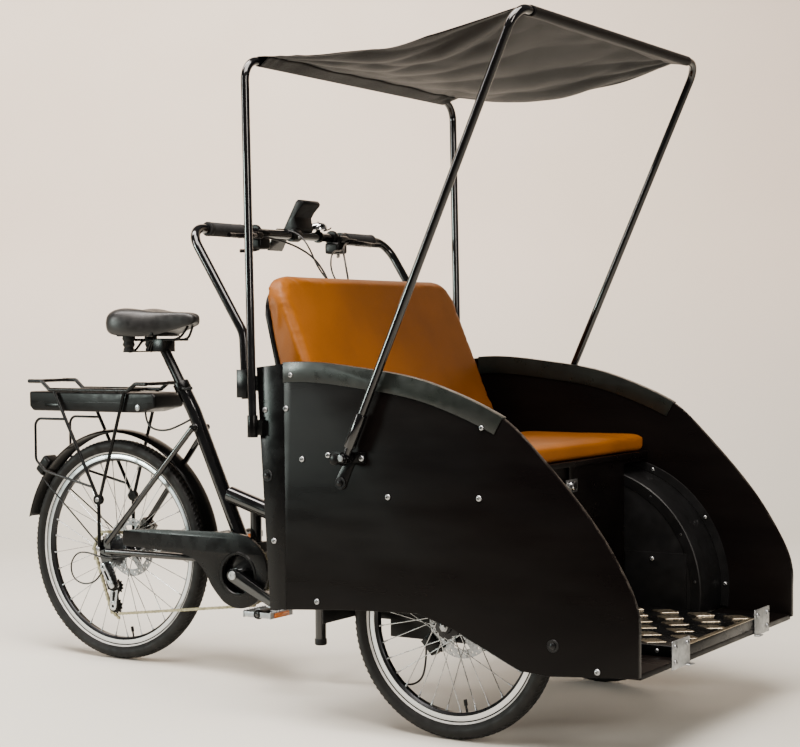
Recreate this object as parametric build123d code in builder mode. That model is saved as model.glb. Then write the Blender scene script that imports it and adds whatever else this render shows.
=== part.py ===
from build123d import *
import math
import os

os.makedirs("parts", exist_ok=True)

# Driving dimensions in millimetres. X runs forward, Y to the left, Z up from the ground.

# Wheels and stance
wheelbase = 1267.0
rear_tyre_radius = 300.0
guard_radius = rear_tyre_radius + 28
guard_angle = 167.0
front_overhang = 488.0
front_tyre_radius = 250.0
tyre_half_width = 23.0
tyre_height = 46.5
wheel_track_half = 364.0
spoke_radius = 1.2
fit_gap = 0.3
axle_radius = 5.0
running_gap = 0.05

# Passenger box
panel_inner_y = 434.0
panel_thickness = 15.0
board = 12.0
floor_z = 186.0
bench_front_x = 98.0
cushion_thickness = 45.0
well_radius = 298.0
bench_top_z = front_tyre_radius + well_radius + 23.0
well_inner_y = 302.0
sheet = 3.0
trim_depth = 45.0
trim_sheet = 2.5

# Steering pivot and its beam
kingpin_behind_axle = 60.0
kingpin_radius = 12.0
head_tube_radius = 24.0
beam_top_z = front_tyre_radius + 12.0
head_tube_gap = 5.5
head_tube_length = 103.0
stub_radius = 7.0
stub_end_y = 402.0

# Tubes
hoop_radius = 9.5
hoop_top_z = 1500.0
front_hoop_rise = 43.0
bar_radius = 11.0
bar_z = 1132.0
bar_half_width = 424.0
post_y = 460.0
hoop_y = 470.0
seat_tube_radius = 19.0
main_tube_radius = 22.0
tube_wall = 2.0
rack_tube_radius = 5.5
rack_z = rear_tyre_radius + 435.0

# Drive
crank_x = 452.0
crank_z = 268.0
crank_length = 170.0
crank_angle = -26.0
chain_y = 45.0
chain_ring_radius = 80.0
cassette_radius = 47.0
motor_half_width = 38.0

rear_overhang = guard_radius * math.cos(math.radians(180 - guard_angle))
rear_axle_x = (rear_overhang - wheelbase - front_overhang) / 2
front_axle_x = rear_axle_x + wheelbase
kingpin_x = front_axle_x - kingpin_behind_axle
panel_outer_y = panel_inner_y + panel_thickness
head_tube_z = beam_top_z + head_tube_gap
top_plate_z = head_tube_z + head_tube_length + head_tube_gap
rail_z = top_plate_z + 8.0
rail_height = 20.0
storage_floor_z = rail_z + rail_height
lid_z = bench_top_z + fit_gap


def upright(y):
    """Vertical plane along the vehicle; an extrusion from it runs towards the right side."""
    return Plane(origin=(0, y, 0), x_dir=(1, 0, 0), z_dir=(0, -1, 0))


def rod(start, end, radius, mode=Mode.ADD):
    """Round bar from one point to another."""
    axis = Vector(*end) - Vector(*start)
    with BuildSketch(Plane(origin=start, z_dir=axis)) as section:
        Circle(radius)
    extrude(section.sketch, amount=axis.length, mode=mode)


def tube(points, bend, radius, wall):
    """Bent tube along a line of points."""
    with BuildLine() as path:
        FilletPolyline(*points, radius=bend)
    with BuildSketch(Plane(origin=path.line @ 0, z_dir=path.line % 0)) as section:
        Circle(radius)
        if wall:
            Circle(radius - wall, mode=Mode.SUBTRACT)
    sweep(section.sketch, path=path.line)


def plate(points, y, thickness, mode=Mode.ADD):
    """Flat plate seen from the side, from y towards the right by its thickness."""
    with BuildSketch(upright(y)) as section:
        with BuildLine():
            Polyline(*points, close=True)
        make_face()
    extrude(section.sketch, amount=thickness, mode=mode)


def block(x0, x1, y0, y1, z0, z1, mode=Mode.ADD):
    """Square block between two corners."""
    with BuildSketch(Plane.XY.offset(z0)) as section:
        with Locations(((x0 + x1) / 2, (y0 + y1) / 2)):
            Rectangle(x1 - x0, y1 - y0)
    extrude(section.sketch, amount=z1 - z0, mode=mode)


def disc(x, z, radius, y, thickness, mode=Mode.ADD):
    """Round plate about a cross axis, from y towards the right by its thickness."""
    with BuildSketch(upright(y)) as section:
        with Locations((x, z)):
            Circle(radius)
    extrude(section.sketch, amount=thickness, mode=mode)


def tyre_ring(x, radius, y):
    """Tyre carcass, open to the rim."""
    seat = radius - tyre_height
    flat = Plane(origin=(x, y, radius), x_dir=(1, 0, 0), z_dir=(0, 0, 1))
    with BuildSketch(flat) as section:
        with BuildLine():
            Polyline((seat, 5), (seat, 9), (seat + 7, 9.5))
            ThreePointArc((seat + 7, 9.5), (seat + 24, tyre_half_width), (radius - 7, 16.5))
            ThreePointArc((radius - 7, 16.5), (radius, 0), (radius - 7, -16.5))
            ThreePointArc((radius - 7, -16.5), (seat + 24, -tyre_half_width), (seat + 7, -9.5))
            Polyline((seat + 7, -9.5), (seat, -9), (seat, -5), (seat + 9, -6.5))
            ThreePointArc((seat + 9, -6.5), (radius - 5, 0), (seat + 9, 6.5))
            Line((seat + 9, 6.5), (seat, 5))
        make_face()
    revolve(section.sketch, axis=Axis((x, y, radius), (0, 1, 0)))


def rim_ring(x, radius, y):
    """Hollow-bottom rim that carries the tyre's beads."""
    seat = radius - tyre_height - fit_gap
    flat = Plane(origin=(x, y, radius), x_dir=(1, 0, 0), z_dir=(0, 0, 1))
    with BuildSketch(flat) as section:
        with BuildLine():
            Polyline(
                (seat - 12, 6),
                (seat - 5, 11),
                (seat + 5.5, 12),
                (seat + 5.5, 10),
                (seat, 9.6),
                (seat, 4.5),
                (seat - 3, 3.5),
                (seat - 3, -3.5),
                (seat, -4.5),
                (seat, -9.6),
                (seat + 5.5, -10),
                (seat + 5.5, -12),
                (seat - 5, -11),
                (seat - 12, -6),
                close=True,
            )
        make_face()
    revolve(section.sketch, axis=Axis((x, y, radius), (0, 1, 0)))


def spoke_set(x, radius, y, flange_y, flange_radius, count):
    """Spokes from two hub flanges to the rim, leaning one way on each flange."""
    reach = radius - tyre_height - 12.0 - 2 * fit_gap
    for number in range(count):
        side = 1 if number % 2 else -1
        angle = 2 * math.pi * number / count
        lean = angle + side * 0.30
        start = (
            x + flange_radius * math.cos(lean),
            y + side * flange_y,
            radius + flange_radius * math.sin(lean),
        )
        end = (x + reach * math.cos(angle), y + side * 2, radius + reach * math.sin(angle))
        rod(start, end, spoke_radius)


# Main frame: seat tube, main tube to the steering head, motor strut and parking leg
seat_tube_top = (rear_axle_x + 229, 0, 735)
seat_tube_bend = (rear_axle_x + 262, 0, 680)
neck_direction = (Vector(*seat_tube_bend) - Vector(rear_axle_x + crank_x, 0, crank_z)).normalized()
seat_tube_foot = Vector(rear_axle_x + crank_x, 0, crank_z) + neck_direction * 66
main_tube_z = head_tube_z + head_tube_length / 2
leg_x = rear_axle_x + 663
leg_foot_z = 112.0
with BuildPart() as main_frame:
    tube([seat_tube_top, seat_tube_bend, seat_tube_foot], 60, seat_tube_radius, tube_wall)
    main_start = (rear_axle_x + 380, 0, main_tube_z + 146)
    tube(
        [main_start, (rear_axle_x + 860, 0, main_tube_z), (kingpin_x - 10, 0, main_tube_z)],
        200,
        main_tube_radius,
        0,
    )
    rod((rear_axle_x + 462, 0, main_tube_z + 118), (rear_axle_x + 462, 0, crank_z + 78), 15)
    rod((leg_x, 0, leg_foot_z), (leg_x, 0, main_tube_z + 55), 14)
    rod((kingpin_x, 0, head_tube_z), (kingpin_x, 0, head_tube_z + head_tube_length), head_tube_radius)
    bore = kingpin_radius + running_gap
    rod(
        (kingpin_x, 0, head_tube_z),
        (kingpin_x, 0, head_tube_z + head_tube_length),
        bore,
        mode=Mode.SUBTRACT,
    )
main_frame.part.label = "main_frame"
export_step(main_frame.part, "parts/main_frame.step")

with BuildPart() as leg_tip:
    rod((leg_x, 0, 95), (leg_x, 0, leg_foot_z), 15.5)
    fillet(leg_tip.faces().sort_by(Axis.Z)[0].edges(), 4)
leg_tip.part.label = "leg_tip"
export_step(leg_tip.part, "parts/leg_tip.step")

# Rear stays with dropouts, axle and brake caliper
stay_y = 62.0
with BuildPart() as rear_stays:
    for side in (-1, 1):
        rod((rear_axle_x + 6, side * stay_y, 322), (rear_axle_x + 279, side * 30, 638), 8)
        rod(
            (rear_axle_x + 279, side * 34, 638),
            (rear_axle_x + 279, side * (seat_tube_radius + fit_gap), 638),
            8.5,
        )
        rod((rear_axle_x + 6, side * stay_y, 300), (rear_axle_x + 370, side * 30, 296), 9)
        dropout = [(-18, 286), (-18, 316), (-4, 336), (18, 336), (22, 290), (16, 250), (0, 250)]
        plate([(rear_axle_x + px, pz) for px, pz in dropout], 3 + side * stay_y, 6)
    rod((rear_axle_x, -72, 300), (rear_axle_x, 72, 300), axle_radius)
    block(rear_axle_x + 355, rear_axle_x + 375, -30, 30, 286, 306)
    caliper = [(28, 352), (58, 330), (84, 362), (56, 386)]
    plate([(rear_axle_x + px, pz) for px, pz in caliper], 59, 30)
    block(rear_axle_x, rear_axle_x + 100, 41, 46, 300, 381.5, mode=Mode.SUBTRACT)
rear_stays.part.label = "rear_stays"
export_step(rear_stays.part, "parts/rear_stays.step")

# Motor housing under the seat tube, bored for the crank spindle
spindle_radius = 12.0
with BuildPart() as motor_unit:
    disc(rear_axle_x + crank_x, crank_z, 62, motor_half_width, 2 * motor_half_width)
    across = Vector(neck_direction.Z, 0, -neck_direction.X) * 26
    centre = Vector(rear_axle_x + crank_x, 0, crank_z)
    corners = [centre - across, centre + across, seat_tube_foot + across, seat_tube_foot - across]
    plate([(v.X, v.Z) for v in corners], 26, 52)
    block(rear_axle_x + 442, rear_axle_x + 482, -24, 24, crank_z, crank_z + 78)
    disc(rear_axle_x + crank_x, crank_z, spindle_radius + running_gap, 60, 120, mode=Mode.SUBTRACT)
motor_unit.part.label = "motor_unit"
export_step(motor_unit.part, "parts/motor_unit.step")

# Cover over the chain's upper run, clipped to the right chainstay
with BuildPart() as chain_cover:
    cover = [
        (64, 318),
        (64, 362),
        (110, 368),
        (330, 374),
        (452, 372),
        (516, 344),
        (544, 268),
        (520, 206),
        (452, 180),
        (396, 196),
        (356, 250),
        (306, 296),
        (262, 312),
        (262, 286),
        (240, 286),
        (240, 318),
    ]
    plate([(rear_axle_x + px, pz) for px, pz in cover], -56, 10)
    disc(rear_axle_x + crank_x, crank_z, 50, -50, 30, mode=Mode.SUBTRACT)
    block(rear_axle_x + 240, rear_axle_x + 262, -58, -50.9, 286, 318)
chain_cover.part.label = "chain_cover"
export_step(chain_cover.part, "parts/chain_cover.step")

# Chain loop over the ring, the sprocket and the two changer pulleys
chain_half = 4.0
ring_run = chain_ring_radius + 0.5 + chain_half
back_run = cassette_radius + 0.5 + chain_half
with BuildPart() as chain:
    for offset, mode in ((chain_half, Mode.ADD), (-chain_half, Mode.SUBTRACT)):
        with BuildSketch(upright(-chain_y + 3)):
            with Locations((rear_axle_x + crank_x, crank_z)):
                Circle(ring_run + offset)
            with Locations((rear_axle_x, rear_tyre_radius)):
                Circle(back_run + offset)
            with Locations((rear_axle_x + 22, 152)):
                Circle(18 + chain_half + 0.5 + offset)
            make_hull()
        extrude(amount=6, mode=mode)
chain.part.label = "chain"
export_step(chain.part, "parts/chain.step")

# Changer under the right dropout
with BuildPart() as derailleur:
    disc(rear_axle_x + 8, 262, 11, -65, 14)
    arm = [(-2, 264), (20, 264), (46, 214), (40, 196), (20, 200)]
    plate([(rear_axle_x + px, pz) for px, pz in arm], -67, 10)
    block(rear_axle_x + 24, rear_axle_x + 42, -70, -55, 198, 216)
    cage = [(14, 214), (42, 214), (36, 140), (10, 140)]
    plate([(rear_axle_x + px, pz) for px, pz in cage], -55, 3)
    disc(rear_axle_x + 22, 152, 17, -chain_y + 2, 12)
    disc(rear_axle_x + 28, 205, 14, -chain_y + 2, 12)
derailleur.part.label = "derailleur"
export_step(derailleur.part, "parts/derailleur.step")

# Seat post with its collar, saddle clamp and rails
post_direction = (Vector(*seat_tube_top) - Vector(*seat_tube_bend)).normalized()
post_top = Vector(*seat_tube_top) + post_direction * 128
rail_line_z = 870.0
with BuildPart() as seat_post:
    rod(seat_tube_top, Vector(*seat_tube_top) + post_direction * 22, seat_tube_radius + 3)
    rod(seat_tube_top, post_top, 13.6)
    block(rear_axle_x + 146, rear_axle_x + 178, -26, 26, 838, rail_line_z + 2)
    for side in (-1, 1):
        rod((rear_axle_x + 80, side * 22, rail_line_z), (rear_axle_x + 225, side * 22, rail_line_z), 3.5)
seat_post.part.label = "seat_post"
export_step(seat_post.part, "parts/seat_post.step")

# Saddle
saddle_z = rail_line_z + 3.5 + fit_gap
with BuildPart() as saddle:
    with BuildSketch(Plane.XY.offset(saddle_z)):
        for px, py, radius in ((66, 56, 46), (66, -56, 46), (254, 0, 22)):
            with Locations((rear_axle_x + px, py)):
                Circle(radius)
        make_hull(mode=Mode.ADD)
    extrude(amount=86)
    fillet(saddle.faces().sort_by(Axis.Z)[-1].edges(), 16)
saddle.part.label = "saddle"
export_step(saddle.part, "parts/saddle.step")

# Luggage rack of bent tube
rack_y = 68.0
with BuildPart() as rear_rack:
    for side in (-1, 1):
        y = side * rack_y
        rail = [(-266, 23), (-218, 23), (-190, 0), (92, 0), (118, 18), (156, 18)]
        tube([(rear_axle_x + px, y, rack_z + pz) for px, pz in rail], 12, rack_tube_radius, 0)
        foot_y = side * (stay_y + 3 + fit_gap + 5)
        rod((rear_axle_x - 174, y, rack_z - 1), (rear_axle_x - 20, foot_y, 449), 4.7)
        rod((rear_axle_x + 80, y, rack_z - 1), (rear_axle_x - 8, foot_y, 449), 4.7)
        disc(rear_axle_x - 14, 440, 14, foot_y + 6, 12)
        rod((rear_axle_x - 14, foot_y, 433), (rear_axle_x - 14, foot_y, 302), 4.9)
        loop_y = y + side * 1.37
        loop = [(-131.3, 655), (-243, 655), (-243, 540), (-206, 510), (-32.4, 472)]
        tube([(rear_axle_x + px, loop_y, pz) for px, pz in loop], 22, 3.6, 0)
    for px, pz in ((-252, 23), (144, 18), (-100, 0), (40, 0)):
        start = (rear_axle_x + px, -rack_y, rack_z + pz)
        rod(start, (rear_axle_x + px, rack_y, rack_z + pz), rack_tube_radius - 0.9)
rear_rack.part.label = "rear_rack"
export_step(rear_rack.part, "parts/rear_rack.step")

# Battery slung under the rack
with BuildPart() as battery:
    shell = [(-275, -47), (-262, -59), (118, -59), (178, -45), (178, -14), (166, -5.3), (-275, -5.3)]
    plate([(rear_axle_x + px, rack_z + pz) for px, pz in shell], 60, 120)
battery.part.label = "battery"
export_step(battery.part, "parts/battery.step")

# Mudguard over the rear wheel
with BuildPart() as rear_mudguard:
    with BuildSketch(upright(28)):
        with Locations((rear_axle_x, rear_tyre_radius)):
            Circle(guard_radius)
            Circle(guard_radius - 2.5, mode=Mode.SUBTRACT)
        with BuildLine():
            Polyline(
                (rear_axle_x, rear_tyre_radius),
                (rear_axle_x - 500, rear_tyre_radius + 500 * math.tan(math.radians(180 - guard_angle))),
                (rear_axle_x - 500, rear_tyre_radius - 500),
                (rear_axle_x + 500, rear_tyre_radius - 500),
                (rear_axle_x + 500, rear_tyre_radius + 23),
                close=True,
            )
        make_face(mode=Mode.SUBTRACT)
    extrude(amount=56)
    for side in (-1, 1):
        stay_end = (rear_axle_x - 12, side * (stay_y - 3 - fit_gap - 2.5), 306)
        rod((rear_axle_x - 266, side * 26, 489), stay_end, 2.5)
    strap = [(326, 322), (331, 322), (364, 310), (364, 306.3), (328, 309)]
    plate([(rear_axle_x + px, pz) for px, pz in strap], 9, 18)
rear_mudguard.part.label = "rear_mudguard"
export_step(rear_mudguard.part, "parts/rear_mudguard.step")

# Tail lamp on the mudguard
with BuildPart() as tail_lamp:
    lamp_angle = math.radians(140)
    lamp_plane = Plane(
        origin=(
            rear_axle_x + (guard_radius + fit_gap) * math.cos(lamp_angle),
            0,
            rear_tyre_radius + (guard_radius + fit_gap) * math.sin(lamp_angle),
        ),
        x_dir=(0, 1, 0),
        z_dir=(math.cos(lamp_angle), 0, math.sin(lamp_angle)),
    )
    with BuildSketch(lamp_plane):
        RectangleRounded(50, 56, 10)
    extrude(amount=30)
tail_lamp.part.label = "tail_lamp"
export_step(tail_lamp.part, "parts/tail_lamp.step")

# Rear wheel
with BuildPart() as rear_tyre:
    tyre_ring(rear_axle_x, rear_tyre_radius, 0)
rear_tyre.part.label = "rear_tyre"
export_step(rear_tyre.part, "parts/rear_tyre.step")

with BuildPart() as rear_rim:
    rim_ring(rear_axle_x, rear_tyre_radius, 0)
rear_rim.part.label = "rear_rim"
export_step(rear_rim.part, "parts/rear_rim.step")

with BuildPart() as rear_hub:
    disc(rear_axle_x, rear_tyre_radius, 17, 48, 96)
    disc(rear_axle_x, rear_tyre_radius, 26, 32, 4)
    disc(rear_axle_x, rear_tyre_radius, 26, -24, 4)
    disc(rear_axle_x, rear_tyre_radius, cassette_radius, -chain_y + 3, 6)
    disc(rear_axle_x, rear_tyre_radius, 80, 44.5, 2)
    spoke_set(rear_axle_x, rear_tyre_radius, 0, 28, 23, 32)
    disc(rear_axle_x, rear_tyre_radius, axle_radius + running_gap, 60, 120, mode=Mode.SUBTRACT)
rear_hub.part.label = "rear_hub"
export_step(rear_hub.part, "parts/rear_hub.step")

# Crank set with its chain ring and pedal spindles
arm_x = crank_length * math.cos(math.radians(crank_angle))
arm_z = crank_length * math.sin(math.radians(crank_angle))
crank_centre_x = rear_axle_x + crank_x
pedal_inner_y = 98.0
pedal_outer_y = 192.0
pedal_spindle_radius = 5.0
with BuildPart() as crank_set:
    disc(crank_centre_x, crank_z, spindle_radius, 90, 180)
    disc(crank_centre_x, crank_z, chain_ring_radius, -chain_y + 2, 4)
    for side in (-1, 1):
        end_x = crank_centre_x - side * arm_x
        end_z = crank_z - side * arm_z
        with BuildSketch(upright(side * 83 + 7)):
            with Locations((crank_centre_x, crank_z)):
                Circle(17)
            with Locations((end_x, end_z)):
                Circle(12)
            make_hull()
        extrude(amount=14)
        rod((end_x, side * 86, end_z), (end_x, side * pedal_outer_y, end_z), pedal_spindle_radius)
crank_set.part.label = "crank_set"
export_step(crank_set.part, "parts/crank_set.step")

with BuildPart() as pedal_right:
    block(
        crank_centre_x + arm_x - 46,
        crank_centre_x + arm_x + 46,
        -pedal_outer_y,
        -pedal_inner_y,
        crank_z + arm_z - 11,
        crank_z + arm_z + 11,
    )
    rod(
        (crank_centre_x + arm_x, -pedal_outer_y - 5, crank_z + arm_z),
        (crank_centre_x + arm_x, 0, crank_z + arm_z),
        pedal_spindle_radius + running_gap,
        mode=Mode.SUBTRACT,
    )
pedal_right.part.label = "pedal_right"
export_step(pedal_right.part, "parts/pedal_right.step")

with BuildPart() as pedal_left:
    with Locations(Location((2 * crank_centre_x, 0, 2 * crank_z), (0, 0, 0))):
        add(pedal_right.part.mirror(Plane.YZ).mirror(Plane.XZ).mirror(Plane.XY))
pedal_left.part.label = "pedal_left"
export_step(pedal_left.part, "parts/pedal_left.step")

# Side panels with the long curved front edge, measured from the front axle
panel_top = [(-387, 816), (-287, 816), (-208, 808), (-135, 799), (-29, 780), (45, 757), (117, 729)]
panel_front = [(171, 703), (230, 653), (303, 578), (392, 473), (438, 401), (465, 347), (476, 270)]
panel_foot = [(476, 192), (276, 177), (208, 182), (46, 256), (-40, 282), (-226, 275), (-386, 263)]
with BuildPart() as side_panels:
    with BuildSketch(upright(-panel_inner_y)):
        with BuildLine():
            edge = [(front_axle_x + px, pz) for px, pz in panel_top + panel_front]
            foot = [(front_axle_x + px, pz) for px, pz in panel_foot]
            Spline(*edge)
            Polyline(edge[-1], *foot, edge[0])
        make_face()
    extrude(amount=panel_thickness)
    mirror(about=Plane.XZ)
side_panels.part.label = "side_panels"
export_step(side_panels.part, "parts/side_panels.step")

# Corner posts at the rear of each panel
with BuildPart() as corner_posts:
    corner = [(-462, 808), (-387, 816), (-386, 263), (-430, 260)]
    plate([(front_axle_x + px, pz) for px, pz in corner], -panel_inner_y, panel_thickness)
    rear_leg = [(-462, 808), (-450, 808), (-418, 260), (-430, 260)]
    plate([(front_axle_x + px, pz) for px, pz in rear_leg], -panel_inner_y + 26, 26)
    mirror(about=Plane.XZ)
corner_posts.part.label = "corner_posts"
export_step(corner_posts.part, "parts/corner_posts.step")

# Edge caps over the top of each panel
with BuildPart() as edge_trims:
    with BuildSketch(upright(-panel_inner_y + trim_sheet)):
        with BuildLine():
            upper = [(front_axle_x + px, pz + 3) for px, pz in panel_top + panel_front[:1]]
            lower = [(front_axle_x + px, pz + 3 - trim_depth) for px, pz in panel_top + panel_front[:1]]
            lower[-1] = (lower[-1][0] - 20, lower[-1][1] + 10)
            Spline(*upper)
            Line(upper[-1], lower[-1])
            Spline(*lower[::-1])
            Line(lower[0], upper[0])
        make_face()
    extrude(amount=panel_thickness + 2 * trim_sheet)
    with BuildSketch(upright(-panel_inner_y)):
        with BuildLine():
            slot = [(front_axle_x + px, pz + fit_gap) for px, pz in panel_top + panel_front]
            Spline(*slot)
            Polyline(slot[-1], (slot[-1][0], 0), (slot[0][0] - 2, 0), (slot[0][0] - 2, slot[0][1]), slot[0])
        make_face()
    extrude(amount=panel_thickness, mode=Mode.SUBTRACT)
    mirror(about=Plane.XZ)
edge_trims.part.label = "edge_trims"
export_step(edge_trims.part, "parts/edge_trims.step")

# Rear wall with the board behind the backrest
with BuildPart() as rear_wall:
    wall = [(-442, storage_floor_z), (-430, storage_floor_z), (-430, 745), (-442, 745)]
    plate([(front_axle_x + px, pz) for px, pz in wall], 408, 816)
    upper_board = [(-442, 745), (-430, 745), (-438, 790), (-487.1, 996), (-499, 993), (-450, 788)]
    plate([(front_axle_x + px, pz) for px, pz in upper_board], 386, 772)
rear_wall.part.label = "rear_wall"
export_step(rear_wall.part, "parts/rear_wall.step")

# Backrest cushion
backrest_half = 392.0
with BuildPart() as backrest:
    pad = [
        (-429.7, 640),
        (-429.7, 745),
        (-437.6, 790),
        (-489.6, 1008),
        (-464, 1018),
        (-446, 1004),
        (-303, 675),
        (-303, 640),
    ]
    plate([(front_axle_x + px, pz) for px, pz in pad], backrest_half, 2 * backrest_half)
backrest.part.label = "backrest"
export_step(backrest.part, "parts/backrest.step")

# Bench box: shallow tray, front wall, side boards and rear shelf
hinge_x = -265.0
with BuildPart() as bench_box:
    tray_back = -430.0
    wall_x = bench_front_x - board
    block(
        front_axle_x + tray_back,
        front_axle_x + wall_x,
        -well_inner_y + 2,
        well_inner_y - 2,
        storage_floor_z,
        storage_floor_z + board,
    )
    block(
        front_axle_x + wall_x,
        front_axle_x + bench_front_x,
        -well_inner_y + 2,
        well_inner_y - 2,
        floor_z + board,
        bench_top_z,
    )
    block(
        front_axle_x + wall_x,
        front_axle_x + bench_front_x,
        -panel_inner_y,
        panel_inner_y,
        bench_top_z - 12,
        bench_top_z,
    )
    for side in (-1, 1):
        block(
            front_axle_x + tray_back + 2,
            front_axle_x + wall_x,
            side * (well_inner_y - 8) - 6,
            side * (well_inner_y - 8) + 6,
            storage_floor_z + board,
            bench_top_z,
        )
    block(front_axle_x - 430, front_axle_x + hinge_x - 12, -408, 408, bench_top_z, bench_top_z + 12)
bench_box.part.label = "bench_box"
export_step(bench_box.part, "parts/bench_box.step")

# Hinged lid with its hasp strap and the seat cushion on it
lid_front_x = bench_front_x + 8.0
with BuildPart() as bench_lid:
    block(
        front_axle_x + hinge_x,
        front_axle_x + lid_front_x,
        -panel_inner_y + 8,
        panel_inner_y - 8,
        lid_z,
        lid_z + board,
    )
    block(front_axle_x + lid_front_x - 4, front_axle_x + lid_front_x, -14, 14, lid_z - 44, lid_z)
    for y in (-300, 0, 300):
        hinge_end = (front_axle_x + hinge_x, y + 40, lid_z + board)
        rod((front_axle_x + hinge_x, y - 40, lid_z + board), hinge_end, 5)
bench_lid.part.label = "bench_lid"
export_step(bench_lid.part, "parts/bench_lid.step")

with BuildPart() as seat_cushion:
    block(
        front_axle_x + hinge_x + 18,
        front_axle_x + lid_front_x,
        -panel_inner_y + 9,
        panel_inner_y - 9,
        lid_z + board,
        lid_z + board + cushion_thickness,
    )
    fillet(seat_cushion.edges().filter_by(Axis.Y).sort_by(Axis.Z)[2:], 12)
seat_cushion.part.label = "seat_cushion"
export_step(seat_cushion.part, "parts/seat_cushion.step")

# Floor board between the panels, under the footwell
with BuildPart() as floor_board:
    block(
        front_axle_x + 40,
        front_axle_x + 474,
        -panel_inner_y,
        panel_inner_y,
        floor_z,
        floor_z + board,
    )
    for side in (-1, 1):
        block(
            front_axle_x,
            front_axle_x + well_radius,
            side * 371 - 67,
            side * 371 + 67,
            floor_z - 10,
            floor_z + board + 10,
            mode=Mode.SUBTRACT,
        )
floor_board.part.label = "floor_board"
export_step(floor_board.part, "parts/floor_board.step")

# Foot plate on the floor with its front corner brackets
step_z = floor_z + board
with BuildPart() as step_plate:
    block(front_axle_x + bench_front_x, front_axle_x + 474, -232, 232, step_z, step_z + 24)
step_plate.part.label = "step_plate"
export_step(step_plate.part, "parts/step_plate.step")

with BuildPart() as step_brackets:
    block(front_axle_x + 474, front_axle_x + 477, -282, -190, 181, 241)
    block(front_axle_x + 474, front_axle_x + 488, -215, -190, 181, 184)
    mirror(about=Plane.XZ)
step_brackets.part.label = "step_brackets"
export_step(step_brackets.part, "parts/step_brackets.step")

# Wheel wells
with BuildPart() as wheel_wells:
    with BuildSketch(upright(-well_inner_y)):
        with Locations((front_axle_x, front_tyre_radius)):
            Circle(well_radius)
        with Locations((front_axle_x, 0)):
            Rectangle(1000, 2 * (step_z), mode=Mode.SUBTRACT)
    extrude(amount=panel_inner_y - well_inner_y)
    with BuildSketch(upright(-well_inner_y - sheet)):
        with Locations((front_axle_x, front_tyre_radius)):
            Circle(well_radius - sheet)
    extrude(amount=panel_inner_y, mode=Mode.SUBTRACT)
    disc(front_axle_x, front_tyre_radius, stub_radius + 3, -well_inner_y + 5, 20, mode=Mode.SUBTRACT)
    block(front_axle_x - 400, front_axle_x - 200, -panel_outer_y, 0, 0, 236, mode=Mode.SUBTRACT)
    mirror(about=Plane.XZ)
wheel_wells.part.label = "wheel_wells"
export_step(wheel_wells.part, "parts/wheel_wells.step")

# Steering frame: axle beam, stub axles, kingpin, top plate, rails and caliper brackets
with BuildPart() as steering_frame:
    beam_end = well_inner_y - fit_gap
    block(front_axle_x - 25, front_axle_x + 25, -beam_end, beam_end, beam_top_z - 30, beam_top_z)
    block(kingpin_x - 34, front_axle_x + 25, -50, 50, beam_top_z - 10, beam_top_z)
    rod((kingpin_x, 0, beam_top_z), (kingpin_x, 0, top_plate_z), kingpin_radius)
    block(kingpin_x - 40, kingpin_x + 46, -60, 60, top_plate_z, rail_z)
    block(kingpin_x + 34, kingpin_x + 42, -60, 60, beam_top_z, top_plate_z)
    for side in (-1, 1):
        rail_y = side * 150
        block(front_axle_x - 440, front_axle_x + 60, rail_y - 12, rail_y + 12, rail_z, storage_floor_z)
        stub_start = (front_axle_x, side * beam_end, front_tyre_radius)
        rod(stub_start, (front_axle_x, side * stub_end_y, front_tyre_radius), stub_radius)
    block(kingpin_x - 20, kingpin_x + 20, -150, 150, rail_z, storage_floor_z)
    block(
        front_axle_x - 440,
        front_axle_x - 416,
        -panel_inner_y + 26,
        panel_inner_y - 26,
        rail_z,
        storage_floor_z,
    )
steering_frame.part.label = "steering_frame"
export_step(steering_frame.part, "parts/steering_frame.step")

# Front brake calipers on brackets around the stub axles
front_disc_y = 330.0
with BuildPart() as front_calipers:
    inner = well_inner_y + sheet + 4
    bracket = [(-14, 12), (14, 12), (14, -18), (-60, -74), (-96, -54), (-88, -26)]
    plate([(front_axle_x + px, front_tyre_radius + pz) for px, pz in bracket], -inner, 6)
    disc(front_axle_x, front_tyre_radius, stub_radius + fit_gap, -200, 200, mode=Mode.SUBTRACT)
    caliper = [(-44, -60), (-72, -80), (-100, -50), (-76, -28)]
    plate([(front_axle_x + px, front_tyre_radius + pz) for px, pz in caliper], -inner, 28)
    disc(front_axle_x, front_tyre_radius, 81.5, -front_disc_y + 2.5, 5, mode=Mode.SUBTRACT)
    mirror(about=Plane.XZ)
front_calipers.part.label = "front_calipers"
export_step(front_calipers.part, "parts/front_calipers.step")

# Rear canopy hoop
with BuildPart() as rear_hoop:
    tube(
        [
            (front_axle_x - 466, -post_y, 700),
            (front_axle_x - 478, -post_y, hoop_top_z),
            (front_axle_x - 478, post_y, hoop_top_z),
            (front_axle_x - 466, post_y, 700),
        ],
        48,
        hoop_radius,
        1.5,
    )
rear_hoop.part.label = "rear_hoop"
export_step(rear_hoop.part, "parts/rear_hoop.step")

# Handlebar hoop
with BuildPart() as handlebar:
    side_run = [(-510, 735), (-516, 885), (-674, bar_z)]
    right = [(front_axle_x + px, -bar_half_width, pz) for px, pz in side_run]
    left = [(front_axle_x + px, bar_half_width, pz) for px, pz in side_run[::-1]]
    tube(right + left, 55, bar_radius, 1.5)
handlebar.part.label = "handlebar"
export_step(handlebar.part, "parts/handlebar.step")

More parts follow.
